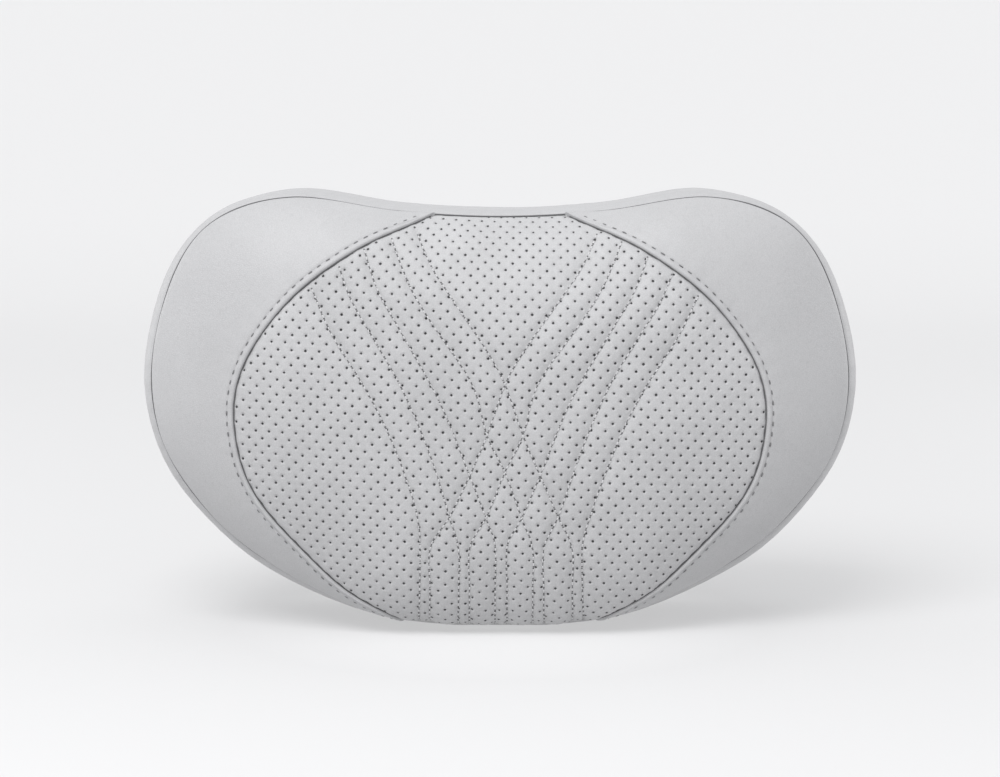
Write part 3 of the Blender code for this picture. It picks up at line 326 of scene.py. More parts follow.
def front_base(pattern):
    """Points of the smooth front face, before its quilting and seams."""
    angle, far = polar(pattern)
    reach = rim_reach(angle)
    whole = full_arc(angle)
    beyond = np.maximum(far - whole, 0.0)
    share = in_table(SHARE_AT, angle, far / whole)
    height = dome(share, angle)
    belly = BELLY * turned_under(angle) * 9.5 * height * (1 - height) ** 3
    out = share * reach + belly - 0.5 * beyond
    y = FRONT_SEAM_Y + (FRONT_Y - FRONT_SEAM_Y) * height + beyond
    return np.stack((np.cos(angle) * out, y, CENTRE[1] + np.sin(angle) * out), axis=1)


def front_face(pattern, height):
    """Points and normals of the front face, raised along its normal by height."""
    step = 0.4
    base = front_base(pattern)
    across = front_base(pattern + (step, 0.0)) - front_base(pattern - (step, 0.0))
    along = front_base(pattern + (0.0, step)) - front_base(pattern - (0.0, step))
    normal = unit(np.cross(across, along))
    return base + normal * np.asarray(height)[:, None], normal


# ---- seam and quilting lines in the pattern ----
def seam_side(sign):
    """A side seam in the pattern: beyond both rims, and cut off at them."""
    line = to_pattern(curve_through(SEAM_HALF, 24) * (sign, 1.0))
    gap = rim_gap(line)
    within = np.flatnonzero(gap > 0.0)
    first, last = within[0], within[-1]
    start = line[first - 1] + (line[first] - line[first - 1]) * (
        -gap[first - 1] / (gap[first] - gap[first - 1]))
    end = line[last] + (line[last + 1] - line[last]) * (gap[last] / (gap[last] - gap[last + 1]))
    return line, np.vstack((start[None], line[first:last + 1], end[None]))


LEFT_LONG, LEFT_SEAM = seam_side(-1)
RIGHT_LONG, RIGHT_SEAM = seam_side(1)
SEAM_LOOP = np.vstack((LEFT_LONG, RIGHT_LONG[::-1]))
MIDDLE_X, MIDDLE_Z = np.array(QUILT_MIDDLE).T


def quilt_lines():
    """Both families of quilting lines, as pattern lines that stop short of the seam and rim."""
    lines = []
    for sign in (1, -1):
        for points in QUILT_LINES:
            curve = curve_through(points, 12) * (sign, 1.0)
            curve[:, 0] += np.interp(curve[:, 1], MIDDLE_Z, MIDDLE_X)
            line = to_pattern(curve)
            line = at_lengths(line, np.arange(0.0, arc_length(line)[-1], 2.0))
            lines.append(line[inside(line, SEAM_LOOP) & (rim_gap(line) > 1.0)])
    return lines


QUILTING = quilt_lines()


def seam_gap(pattern):
    """Distance inside the oval seam (negative outside it), and the place along it."""
    gap = np.full(len(pattern), 1e9)
    along = np.zeros(len(pattern))
    for line in (LEFT_LONG, RIGHT_LONG):
        near, where = nearest(pattern, line)
        along = np.where(near < gap, where, along)
        gap = np.minimum(gap, near)
    return np.where(inside(pattern, SEAM_LOOP), gap, -gap), along


def quilt_height(pattern):
    """Depth of the quilting: a valley along every line, round pads between them."""
    near = np.zeros(len(pattern))
    for line in QUILTING:
        gap, _ = nearest(pattern, line)
        near += np.maximum(gap, 0.05) ** -4.0
    gap = near ** -0.25
    fade = np.clip(np.minimum(seam_gap(pattern)[0], rim_gap(pattern)) / 7.0, 0.0, 1.0)
    return -QUILT_DEPTH * np.exp(-gap / QUILT_WIDTH) * (0.15 + 0.85 * fade)


def centre_height(pattern):
    """Relief of the perforated panel: quilting, the dive into its seams, and slight waves."""
    gap, along = seam_gap(pattern)
    rim = rim_gap(pattern)
    dive = -1.7 * np.exp(-np.maximum(gap, 0.0) / 0.85) + 1.6 * np.minimum(gap, 0.0)
    edge = -1.9 * np.exp(-np.maximum(rim, 0.0) / 1.0) + 0.8 * np.minimum(rim, 0.0)
    pucker = 0.16 * np.exp(-np.abs(gap) / 5.0) * gathers(along, 8.3, 21.0)
    return quilt_height(pattern) + dive + edge + pucker + 0.18 * wobble(pattern, 34.0, 1.0)


# (distance from a seam, relief) across the side panels' folded lip and their rim edge
LIP = ((0.6, -2.6), (0.2, -1.7), (0.08, -0.9), (0.14, -0.32), (0.35, 0.1), (0.75, 0.38),
       (1.35, 0.5), (2.0, 0.42), (2.45, 0.22), (2.8, -0.02), (3.1, -0.2), (3.4, -0.08),
       (3.9, 0.1), (4.8, 0.14), (7.0, 0.1), (10.0, 0.04), (14.0, 0.0))
EDGE = ((0.8, -3.2), (0.42, -2.1), (0.4, -1.3), (0.5, -0.8), (0.85, -0.36), (1.4, -0.09),
        (2.1, 0.05), (3.2, 0.08), (5.0, 0.04), (8.0, 0.0))


# ================================================================ meshes
def new_object(name, data):
    made = bpy.data.objects.new(name, data)
    bpy.context.scene.collection.objects.link(made)
    return made


def add_mesh(name, points, faces, material, slot, body="pillow", seconds=None, second=None):
    """A new piece from points in millimetres. The faces marked in seconds get material second."""
    mesh = bpy.data.meshes.new(name)
    mesh.from_pydata((np.asarray(points) * MM).tolist(), [],
                     [[int(corner) for corner in face] for face in faces])
    mesh.shade_smooth()
    mesh.materials.append(material)
    if second:
        mesh.materials.append(second)
        mesh.polygons.foreach_set("material_index", np.asarray(seconds, np.int32))
    mesh.update()
    piece = new_object(name, mesh)
    turn_outward(piece)
    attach(piece, body)
    return piece


def turn_outward(piece):
    """Turns a piece's faces the same way, outward."""
    mesh = bmesh.new()
    mesh.from_mesh(piece.data)
    bmesh.ops.recalc_face_normals(mesh, faces=mesh.faces)
    mesh.to_mesh(piece.data)
    mesh.free()


def grid_faces(rows, columns, wrap=False, flip=False):
    """Quads of a rows x columns grid. wrap joins its last column to the first, flip turns it over."""
    i, j = np.meshgrid(np.arange(rows - 1), np.arange(columns if wrap else columns - 1),
                       indexing="ij")
    after = (j + 1) % columns
    quads = np.stack((i * columns + j, i * columns + after, (i + 1) * columns + after,
                      (i + 1) * columns + j), axis=-1).reshape(-1, 4)
    return quads[:, ::-1] if flip else quads


def joined_parts(parts):
    """One point and face list from several."""
    points, faces, count = [], [], 0
    for part_points, part_faces in parts:
        points.append(part_points)
        faces += [[index + count for index in face] for face in part_faces]
        count += len(part_points)
    return np.vstack(points), faces


def circles(side, lift, steps):
    """A unit circle of steps points in each plane of side and lift."""
    turns = (math.tau * np.arange(steps) / steps)[:, None]
    return side[..., None, :] * np.cos(turns) + lift[..., None, :] * np.sin(turns)


def rods(paths, ups, radius, sides=6):
    """Short rods with rounded ends: paths is (rods, points, 3) and ups their normals there."""
    number, count, _ = paths.shape
    along = unit(np.gradient(paths, axis=1))
    side = unit(np.cross(along, ups))
    t = np.linspace(-1.0, 1.0, count)
    girth = radius * np.sqrt(np.clip(1.0 - np.abs(t) ** 6, 0.02, 1.0))
    rings = circles(side, np.cross(side, along), sides) * girth[None, :, None, None]
    points = paths[:, :, None, :] + rings
    quads = grid_faces(count, sides, wrap=True)
    faces = []
    for rod in range(number):
        start = rod * count * sides
        faces += (quads + start).tolist()
        faces.append([start + k for k in range(sides)][::-1])
        faces.append([start + (count - 1) * sides + k for k in range(sides)])
    return points.reshape(-1, 3), faces


def skin(rings, closed=False):
    """Skins a (rings, points, 3) array; closed joins the last ring to the first, else it caps."""
    rings = np.asarray(rings, float)
    count, sides, _ = rings.shape
    faces = grid_faces(count, sides, wrap=True).tolist()
    last = (count - 1) * sides
    if closed:
        faces += [[last + k, last + (k + 1) % sides, (k + 1) % sides, k] for k in range(sides)]
    else:
        faces.append(list(range(sides))[::-1])
        faces.append([last + k for k in range(sides)])
    return rings.reshape(-1, 3), faces


def tube(path, radius):
    """A closed tube along a looped or open 3-D path; a loop's first point isn't repeated."""
    along = unit(np.gradient(path, axis=0))
    side = unit(np.cross(along, (0.0, 1.0, 0.0)))
    looped = np.linalg.norm(path[0] - path[-1]) < 3.0
    return skin(path[:, None] + radius * circles(side, np.cross(side, along), 8), closed=looped)


def lathe_x(profile, y, z, steps=72, closed=False):
    """An (x, radius) profile turned about the line along X through (y, z)."""
    x, radius = np.array(profile, float).T
    turns = math.tau * np.arange(steps) / steps
    rings = np.stack((np.repeat(x[:, None], steps, axis=1),
                      y + radius[:, None] * np.cos(turns),
                      z + radius[:, None] * np.sin(turns)), axis=-1)
    return skin(rings, closed=closed)


def stitch_starts(line, pitch, length):
    return np.arange(pitch * 0.5, arc_length(line)[-1] - length, pitch)


def stitches_on(line, pitch, length, surface, radius):
    """Stitch rods along a 2-D line. surface gives places and normals at a lift above points."""
    starts = stitch_starts(line, pitch, length)
    t = np.linspace(0.0, 1.0, 6)
    lengths = (starts[:, None] + t[None, :] * length).ravel()
    arch = STITCH_RISE - (STITCH_SINK + STITCH_RISE) * np.abs(2 * t - 1) ** 3
    place, normal = surface(at_lengths(line, lengths), np.tile(arch, len(starts)))
    shape = (len(starts), len(t), 3)
    return rods(place.reshape(shape), normal.reshape(shape), radius)


def needle_hole_shade_on(line, pitch, length, surface):
    """Small dark dimples of painted shade where a row's thread dives through the leather."""
    starts = stitch_starts(line, pitch, length)
    places = np.concatenate((starts - 0.15, starts + length + 0.15))
    centre, normal = surface(at_lengths(line, places), np.full(len(places), 0.1))
    side = unit(np.cross(normal, (0.0, 0.0, 1.0)))
    ring = centre[:, None] + NEEDLE_HOLE_R * circles(side, np.cross(side, normal), 8)
    inner = centre + normal * 0.05
    points = np.concatenate((ring, inner[:, None]), axis=1).reshape(-1, 3)
    faces = []
    for k in range(len(places)):
        start = k * 9
        faces += [[start + j, start + (j + 1) % 8, start + 8] for j in range(8)]
    return points, faces


def applied(piece, *modifiers):
    """Applies modifiers, each a (type, settings) pair, to a piece's mesh."""
    for kind, settings in modifiers:
        modifier = piece.modifiers.new(kind.lower(), kind)
        for key, value in settings.items():
            setattr(modifier, key, value)
    graph = bpy.context.evaluated_depsgraph_get()
    mesh = bpy.data.meshes.new_from_object(piece.evaluated_get(graph))
    piece.modifiers.clear()
    piece.data = mesh
    return piece


def copy_of(node, name, material, slot, *modifiers):
    """A finer copy of a CAD node that stands for it on the same body."""
    source = frame["nodes"][node]
    piece = new_object(name, source.data.copy())
    applied(piece, *modifiers)
    piece.data.materials.clear()
    piece.data.materials.append(material)
    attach(piece, source["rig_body"])
    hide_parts(node)
    return piece


# ================================================================ materials
def new_material(name, colour, roughness, metallic=0.0, specular=0.5):
    """A Principled material and a helper that adds nodes to it."""
    made = bpy.data.materials.new(name)
    made.use_nodes = True
    tree = made.node_tree
    shader = tree.nodes["Principled BSDF"]
    shader.inputs["Base Color"].default_value = (*colour, 1.0)
    shader.inputs["Roughness"].default_value = roughness
    shader.inputs["Metallic"].default_value = metallic
    shader.inputs["Specular IOR Level"].default_value = specular

    def node(kind, settings=None, **inputs):
        made_node = tree.nodes.new(kind)
        for key, value in (settings or {}).items():
            setattr(made_node, key, value)
        for key, value in inputs.items():
            socket = made_node.inputs[key.replace("_", " ")]
            if isinstance(value, bpy.types.NodeSocket):
                tree.links.new(value, socket)
            else:
                socket.default_value = value
        return made_node

    return made, node, shader, tree


def object_space(node, scale=(1.0, 1.0, 1.0), turn=(0.0, 0.0, 0.0)):
    """Object coordinates, turned and scaled."""
    at = node("ShaderNodeTexCoord").outputs["Object"]
    return node("ShaderNodeMapping", Vector=at, Rotation=turn, Scale=scale).outputs["Vector"]


def ramp(node, value, *stops):
    """A colour ramp over value; stops are (position, grey or colour) pairs."""
    made = node("ShaderNodeValToRGB", Fac=value)
    elements = made.color_ramp.elements
    while len(elements) < len(stops):
        elements.new(0.5)
    for element, (position, colour) in zip(elements, stops):
        element.position = position
        element.color = (colour, colour, colour, 1.0) if isinstance(colour, float) else (*colour, 1.0)
    return made.outputs["Color"]


def tinted(colour, factor):
    return tuple(min(1.0, channel * factor) for channel in colour)


def multiplied(node, a, b):
    """Two colours multiplied."""
    made = node("ShaderNodeMix", {"data_type": "RGBA", "blend_type": "MULTIPLY"})
    made.inputs["Factor"].default_value = 1.0
    sockets = [socket for socket in made.inputs if socket.type == "RGBA"]
    made.id_data.links.new(a, sockets[0])
    made.id_data.links.new(b, sockets[1])
    return [socket for socket in made.outputs if socket.type == "RGBA"][0]


def maths(node, operation, *values):
    """The result of a math node over sockets or numbers."""
    made = node("ShaderNodeMath", {"operation": operation})
    for socket, value in zip(made.inputs, values):
        if isinstance(value, bpy.types.NodeSocket):
            made.id_data.links.new(value, socket)
        else:
            socket.default_value = value
    return made.outputs[0]


def added(node, a, b, share):
    """a plus share times b."""
    return maths(node, "ADD", a, maths(node, "MULTIPLY", b, share))


def bump(node, shader, height, distance, strength=1.0):
    made = node("ShaderNodeBump", Strength=strength, Distance=distance, Height=height)
    made.id_data.links.new(made.outputs["Normal"], shader.inputs["Normal"])


def varied_roughness(node, shader, value, low, high):
    made = node("ShaderNodeMapRange", Value=value, To_Min=low, To_Max=high)
    made.id_data.links.new(made.outputs["Result"], shader.inputs["Roughness"])


def leather(name, colour, roughness=0.5, grain=1.0, mottle=0.035):
    """Fine-grained coated leather: pebble cells, creases darkened as painted shade, faint mottling and a
    soft sheen.
    """
    made, node, shader, tree = new_material(name, colour, roughness, specular=0.4)
    at = object_space(node)
    cells = node("ShaderNodeTexVoronoi", {"feature": "DISTANCE_TO_EDGE"}, Vector=at, Scale=1050.0)
    fine = node("ShaderNodeTexNoise", Vector=at, Scale=2300.0, Detail=3.0, Roughness=0.6)
    broad = node("ShaderNodeTexNoise", Vector=at, Scale=28.0, Detail=5.0, Roughness=0.6)
    pebble = ramp(node, cells.outputs["Distance"], (0.0, 0.0), (0.25, 0.75), (0.6, 1.0))
    speckle = node("ShaderNodeTexNoise", Vector=at, Scale=420.0, Detail=2.0, Roughness=0.5)
    broad_and_fine = added(node, broad.outputs["Fac"], speckle.outputs["Fac"], 0.5)
    colours = ramp(node, broad_and_fine, (0.5, tinted(colour, 1.0 - mottle)), (0.75, colour),
                   (1.0, tinted(colour, 1.0 + mottle)))
    # painted shade: the colour darkened along the grain's creases
    crease_shade = ramp(node, cells.outputs["Distance"], (0.0, 0.9), (0.14, 1.0))
    tree.links.new(multiplied(node, colours, crease_shade), shader.inputs["Base Color"])
    varied_roughness(node, shader, broad.outputs["Fac"], roughness - 0.06, roughness + 0.07)
    bump(node, shader, added(node, pebble, fine.outputs["Fac"], 0.6), 0.00009 * grain, 0.5)
    shader.inputs["Sheen Weight"].default_value = 0.08
    shader.inputs["Sheen Roughness"].default_value = 0.4
    return made


def thread(name, colour):
    """Twisted polyester thread: fine slanting plies, with painted shade and highlight across them."""
    made, node, shader, tree = new_material(name, colour, 0.6, specular=0.3)
    at = object_space(node, turn=(0.4, 0.7, 0.5))
    plies = node("ShaderNodeTexWave", Vector=at, Scale=900.0, Distortion=1.5, Detail=1.0)
    # painted shade and highlight: the colour darker and lighter across the twisted plies
    colours = ramp(node, plies.outputs["Fac"], (0.2, tinted(colour, 0.75)), (0.8, tinted(colour, 1.15)))
    tree.links.new(colours, shader.inputs["Base Color"])
    bump(node, shader, plies.outputs["Fac"], 0.0001, 0.5)
    return made


def woven(name, colour, pitch, roughness=0.85, depth=0.00018):
    """Cloth: crossed sets of yarns, pitch metres apart, with painted shade between them, fuzz and uneven
    dye.

    There is a set across each axis, and one that would meet the surface end-on is held off it.
    """
    made, node, shader, tree = new_material(name, colour, roughness, specular=0.2)
    at = object_space(node)
    facing = node("ShaderNodeSeparateXYZ", Vector=node("ShaderNodeTexCoord").outputs["Normal"])
    yarns = 1.0
    for axis in "XYZ":
        bands = node("ShaderNodeTexWave", {"bands_direction": axis}, Vector=at,
                     Scale=math.tau / pitch / 20.0, Distortion=0.6, Detail=1.0, Detail_Scale=2.0)
        end_on = ramp(node, maths(node, "ABSOLUTE", facing.outputs[axis]), (0.55, 0.0), (0.85, 1.0))
        yarns = maths(node, "MULTIPLY", yarns, maths(node, "MAXIMUM", bands.outputs["Fac"], end_on))
    fuzz = node("ShaderNodeTexNoise", Vector=at, Scale=1500.0, Detail=3.0)
    broad = node("ShaderNodeTexNoise", Vector=at, Scale=35.0, Detail=4.0)
    # painted shade and highlight: the colour darker between the yarns and lighter where they peak
    weave = ramp(node, yarns, (0.0, tinted(colour, 0.5)), (0.35, colour),
                 (0.9, tinted(colour, 1.2)))
    dye = ramp(node, broad.outputs["Fac"], (0.3, 0.9), (0.7, 1.0))
    tree.links.new(multiplied(node, weave, dye), shader.inputs["Base Color"])
    bump(node, shader, added(node, yarns, fuzz.outputs["Fac"], 0.35), depth, 0.8)
    shader.inputs["Sheen Weight"].default_value = 0.25
    shader.inputs["Sheen Roughness"].default_value = 0.5
    return made


def foam(name, colour):
    """Open-cell foam: pores of two sizes, darkened as painted shade, and a slight yellow cast in patches.
    """
    made, node, shader, tree = new_material(name, colour, 0.95, specular=0.1)
    at = object_space(node)
    pores = node("ShaderNodeTexVoronoi", Vector=at, Scale=900.0)
    broad = node("ShaderNodeTexNoise", Vector=at, Scale=20.0, Detail=4.0)
    # painted shade: the colour darkened in the pores
    dark = ramp(node, pores.outputs["Distance"], (0.1, 0.62), (0.5, 1.0))
    patches = ramp(node, broad.outputs["Fac"], (0.3, tinted(colour, 0.92)), (0.7, colour))
    tree.links.new(multiplied(node, patches, dark), shader.inputs["Base Color"])
    bump(node, shader, pores.outputs["Distance"], 0.0006, 0.8)
    return made


def plastic(name, colour, roughness=0.42, grain=0.00004):
    """Moulded plastic: spark-eroded grain, a faint flow mottling and uneven gloss."""
    made, node, shader, tree = new_material(name, colour, roughness)
    at = object_space(node)
    spark = node("ShaderNodeTexNoise", Vector=at, Scale=1400.0, Detail=4.0, Roughness=0.7)
    flow = node("ShaderNodeTexNoise", Vector=at, Scale=45.0, Detail=3.0, Distortion=0.8)
    colours = ramp(node, flow.outputs["Fac"], (0.3, tinted(colour, 0.9)), (0.7, tinted(colour, 1.08)))
    tree.links.new(colours, shader.inputs["Base Color"])
    varied_roughness(node, shader, flow.outputs["Fac"], roughness - 0.08, roughness + 0.1)
    bump(node, shader, spark.outputs["Fac"], grain, 0.6)
    return made


def metal(name, colour, roughness, stretch=(1.0, 1.0, 1.0), rate=900.0):
    """Worked metal: fine tool marks drawn out along one way, with smears and tarnish."""
    made, node, shader, tree = new_material(name, colour, roughness, metallic=1.0)
    at = object_space(node, scale=stretch)
    marks = node("ShaderNodeTexNoise", Vector=at, Scale=rate, Detail=5.0, Roughness=0.65)
    smears = node("ShaderNodeTexNoise", Vector=object_space(node), Scale=70.0, Detail=4.0)
    colours = ramp(node, smears.outputs["Fac"], (0.3, tinted(colour, 0.82)), (0.65, tinted(colour, 1.05)))
    tree.links.new(colours, shader.inputs["Base Color"])
    varied_roughness(node, shader, marks.outputs["Fac"], roughness - 0.08, roughness + 0.16)
    bump(node, shader, marks.outputs["Fac"], 0.00002, 0.7)
    return made


def circuit_board(name):
    """Green solder mask with copper tracks showing through it."""
    made, node, shader, tree = new_material(name, (0.02, 0.17, 0.06), 0.35)
    at = object_space(node)
    tracks = node("ShaderNodeTexBrick", Vector=at, Scale=420.0, Mortar_Size=0.045,
                  Color1=(0.018, 0.16, 0.055, 1.0), Color2=(0.025, 0.19, 0.07, 1.0),
                  Mortar=(0.07, 0.30, 0.12, 1.0))
    tree.links.new(tracks.outputs["Color"], shader.inputs["Base Color"])
    bump(node, shader, tracks.outputs["Fac"], 0.00004, 0.6)
    shader.inputs["Coat Weight"].default_value = 0.4
    return made


LEATHER = leather("light_grey_leather", (0.43, 0.43, 0.438))
PERFORATED = leather("perforated_leather", (0.45, 0.45, 0.458), 0.52, 2.4, 0.07)
# Painted shade: a dark grey, textured like foam, on the walls and floors of the perforation holes and in
# the needle holes
HOLE_SHADE = foam("hole_shadow", (0.16, 0.16, 0.164))
# Thread darker than the leather: its grey is also painted shade for the dips where the stitches pull into
# it
TOPSTITCH_THREAD_AND_SHADE = thread("dark_topstitch_thread_and_shade", (0.19, 0.19, 0.195))
QUILT_THREAD = thread("light_quilting_thread", (0.58, 0.58, 0.588))
# Painted shade: dark cords laid in the seams' grooves stand for the shadow there
SEAM_SHADOW = thread("seam_shade_cord", (0.14, 0.14, 0.145))
REAR_FABRIC = woven("grey_rear_fabric", (0.20, 0.20, 0.21), 0.0011)
ELASTIC = woven("ribbed_elastic", (0.09, 0.09, 0.10), 0.0016, 0.8, 0.0003)
ZIP_CLOTH = woven("zip_tape_cloth", (0.035, 0.035, 0.04), 0.0007, 0.8, 0.0001)
FOAM = foam("cream_foam", (0.74, 0.70, 0.56))
LINER = woven("mesh_liner", (0.05, 0.05, 0.055), 0.0009)
GREY_PLASTIC = plastic("grey_moulded_plastic", (0.17, 0.175, 0.185))
BLACK_PLASTIC = plastic("black_moulded_plastic", (0.022, 0.022, 0.025), 0.38)
NYLON = plastic("white_nylon", (0.66, 0.64, 0.56), 0.4, 0.00002)
NODE_PLASTIC = plastic("brown_node_plastic", (0.28, 0.12, 0.055), 0.25, 0.00001)
STEEL = metal("turned_steel", (0.56, 0.56, 0.58), 0.3)
NICKEL = metal("nickel_plate", (0.42, 0.42, 0.43), 0.28, (0.2, 1.0, 1.0))
BRASS = metal("turned_brass", (0.62, 0.44, 0.18), 0.3)
COPPER = metal("wound_copper", (0.55, 0.24, 0.12), 0.35, (1.0, 1.0, 0.15), 2200.0)
RUBBER = plastic("black_rubber", (0.02, 0.02, 0.02), 0.8, 0.00008)
BOARD = circuit_board("circuit_board")
LENS = plastic("frosted_lens", (0.55, 0.62, 0.68), 0.3, 0.00002)


def each_side(*names):
    """Names of the nodes that both kneading drives have."""
    return tuple(f"{side}_{name}" for name in names for side in ("left", "right"))


CAD_FINISHES = {
    GREY_PLASTIC: ("front_housing", "rear_housing", "control_box", *each_side("carrier")),
    BLACK_PLASTIC: ("motor_end_cap", "motor_magnet_left", "motor_magnet_right", "tact_switch"),
    NYLON: ("worm_bearing_block", *each_side("worm_wheel")),
    NODE_PLASTIC: each_side("node_1", "node_2"),
    STEEL: ("motor_can", "motor_shaft",
            *each_side("output_shaft", "carrier_screw", "node_1_pin", "node_2_pin"),
            *(f"housing_screw_{number}" for number in range(1, 7))),
    BRASS: ("worm", *each_side("shaft_bush")),
    COPPER: ("armature",),
    RUBBER: ("motor_ring_lower", "motor_ring_upper", "motor_lead"),
    BOARD: ("control_board",),
}


def finish_cad_nodes():
    """Gives the CAD nodes that stay as they are their materials."""
    for finish, names in CAD_FINISHES.items():
        for name in names:
            for slot in frame["nodes"][name].material_slots:
                slot.material = finish


# ================================================================ perforated centre panel
def perforated_cells():
    """Pattern points, sink below the surface, faces, and a mark on the faces inside holes.

    The holes lie on a staggered lattice. Each hole owns one diamond cell of it, meshed as rings
    from the cell's border to the hole's floor, and neighbours share their border points.
    """
    span = 60                           # cells each way from the middle
    turn = np.array(((math.cos(HOLE_TILT), math.sin(HOLE_TILT)),
                     (-math.sin(HOLE_TILT), math.cos(HOLE_TILT))))
    step_a = np.array((HOLE_PITCH_X, HOLE_PITCH_Z)) / 2 @ turn
    step_b = np.array((HOLE_PITCH_X, -HOLE_PITCH_Z)) / 2 @ turn
    a, b = np.meshgrid(np.arange(-span, span), np.arange(-span, span), indexing="ij")
    a, b = a.ravel(), b.ravel()
    holes = a[:, None] * step_a + b[:, None] * step_b + CENTRE
    near = (np.abs(holes[:, 0]) < 150.0) & (rim_gap(holes) > -4.0)
    a, b, holes = a[near], b[near], holes[near]
    gap, _ = seam_gap(holes)
    keep = gap > -4.5                   # cells across the seam are kept, to be trimmed to it
    a, b, holes, gap = a[keep], b[keep], holes[keep], gap[keep]
    open_hole = (gap > 1.2) & (rim_gap(holes) > 1.6)

    side = (-2, -1, 0, 1)
    border = np.array([(s, -2) for s in side] + [(2, t) for t in side]
                      + [(-s, 2) for s in side] + [(-2, -t) for t in side])
    rim = (border[:, :1] * step_a + border[:, 1:] * step_b) / 4.0
    way = unit(rim)
    count = len(border)

    keys = np.stack((4 * a[:, None] + border[:, 0], 4 * b[:, None] + border[:, 1]), axis=-1)
    _, first, shared = np.unique(keys.reshape(-1, 2), axis=0, return_index=True,
                                 return_inverse=True)
    shared = shared.reshape(len(a), count)
    border_points = (holes[:, None, :] + rim[None]).reshape(-1, 2)[first]

    # (radius, sink) of each ring between a cell's border and its hole's floor
    rings = ((1.8, 0.0), (HOLE_R + 0.13, 0.0), (HOLE_R, HOLE_DEPTH))
    points, sinks = [border_points], [np.zeros(len(border_points))]
    layers = [shared]
    total = len(border_points)
    scatter = np.sin(127.1 * a + 311.7 * b) * 43758.5
    punched = 0.85 + 0.28 * (scatter - np.floor(scatter))       # worn punches, uneven holes
    for radius, sink in rings:
        size = radius * (punched if sink or radius < 1.0 else np.ones(len(a)))
        ring = holes[:, None, :] + way[None] * size[:, None, None]
        points.append(ring.reshape(-1, 2))
        sinks.append(np.repeat(np.where(open_hole, sink, 0.0), count))
        layers.append(total + np.arange(len(a) * count).reshape(len(a), count))
        total += len(a) * count
    points.append(holes)
    sinks.append(np.where(open_hole, HOLE_DEPTH + 0.05, 0.0))
    middle = total + np.arange(len(a))
    faces, marks = [], []
    for layer, (outer, inner) in enumerate(zip(layers, layers[1:])):
        quads = np.stack((outer, np.roll(outer, -1, axis=1), np.roll(inner, -1, axis=1), inner),
                         axis=-1)
        faces += quads.reshape(-1, 4).tolist()
        # a hole's wall and floor take the dark hole material: painted shade
        dark = open_hole & (layer == len(rings) - 1)
        marks.append(np.repeat(dark, count))
    last = layers[-1]
    fan = np.stack((last, np.roll(last, -1, axis=1),
                    np.repeat(middle[:, None], count, axis=1)), axis=-1)
    faces += fan.reshape(-1, 3).tolist()
    marks.append(np.repeat(open_hole, count))
    return np.vstack(points), np.concatenate(sinks), faces, np.concatenate(marks)


def trimmed_to_seams(pattern, faces, marks):
    """Draws cell corners beyond the seams or the rim back to them, and drops faces outside."""
    gap, along = seam_gap(pattern)
    beyond = gap < 0.0
    near_left = pattern[:, 0] < 0.0
    for line, on_side in ((LEFT_LONG, near_left), (RIGHT_LONG, ~near_left)):
        chosen = beyond & on_side
        pattern[chosen] = at_lengths(line, along[chosen])
    rim = rim_gap(pattern)
    outside = rim < 0.0
    angle, far = polar(pattern[outside])
    pattern[outside] = ray_points(angle, far + rim[outside])
    lost = beyond | outside
    kept = [index for index, face in enumerate(faces) if not all(lost[corner] for corner in face)]
    return pattern, [faces[index] for index in kept], marks[kept]


def on_mesh(piece, surface):
    """A surface function like the one given, but true to the piece's own mesh."""
    tree = BVHTree.FromPolygons([tuple(vertex.co) for vertex in piece.data.vertices],
                                [tuple(face.vertices) for face in piece.data.polygons])

    def place(points, lift):
        guess, normals = surface(points, np.zeros(len(points)))
        found = [tree.find_nearest(spot)[0] for spot in guess * MM]
        return np.array(found) / MM + normals * np.asarray(lift)[:, None], normals

    return place


def make_centre_panel():
    """The perforated panel with its quilting stitches and the painted shade of their needle holes."""
    pattern, sink, faces, marks = perforated_cells()
    pattern, faces, marks = trimmed_to_seams(pattern, faces, marks)
    points, _ = front_face(pattern, centre_height(pattern) - sink)
    panel = add_mesh("perforated_front_panel", points, faces, PERFORATED, "leather",
                     seconds=marks, second=HOLE_SHADE)
    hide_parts("front_center_panel")
    surface = on_mesh(panel, lambda flat, lift: front_face(flat, centre_height(flat) + lift))
    stitches, holes = [], []
    for line in QUILTING:
        stitches.append(stitches_on(line, QUILT_PITCH, QUILT_STITCH, surface, THREAD_R))
        holes.append(needle_hole_shade_on(line, QUILT_PITCH, QUILT_STITCH, surface))
    add_mesh("quilting_stitches", *joined_parts(stitches), QUILT_THREAD, "leather")
    add_mesh("quilting_needle_hole_shade", *joined_parts(holes), HOLE_SHADE, "leather")


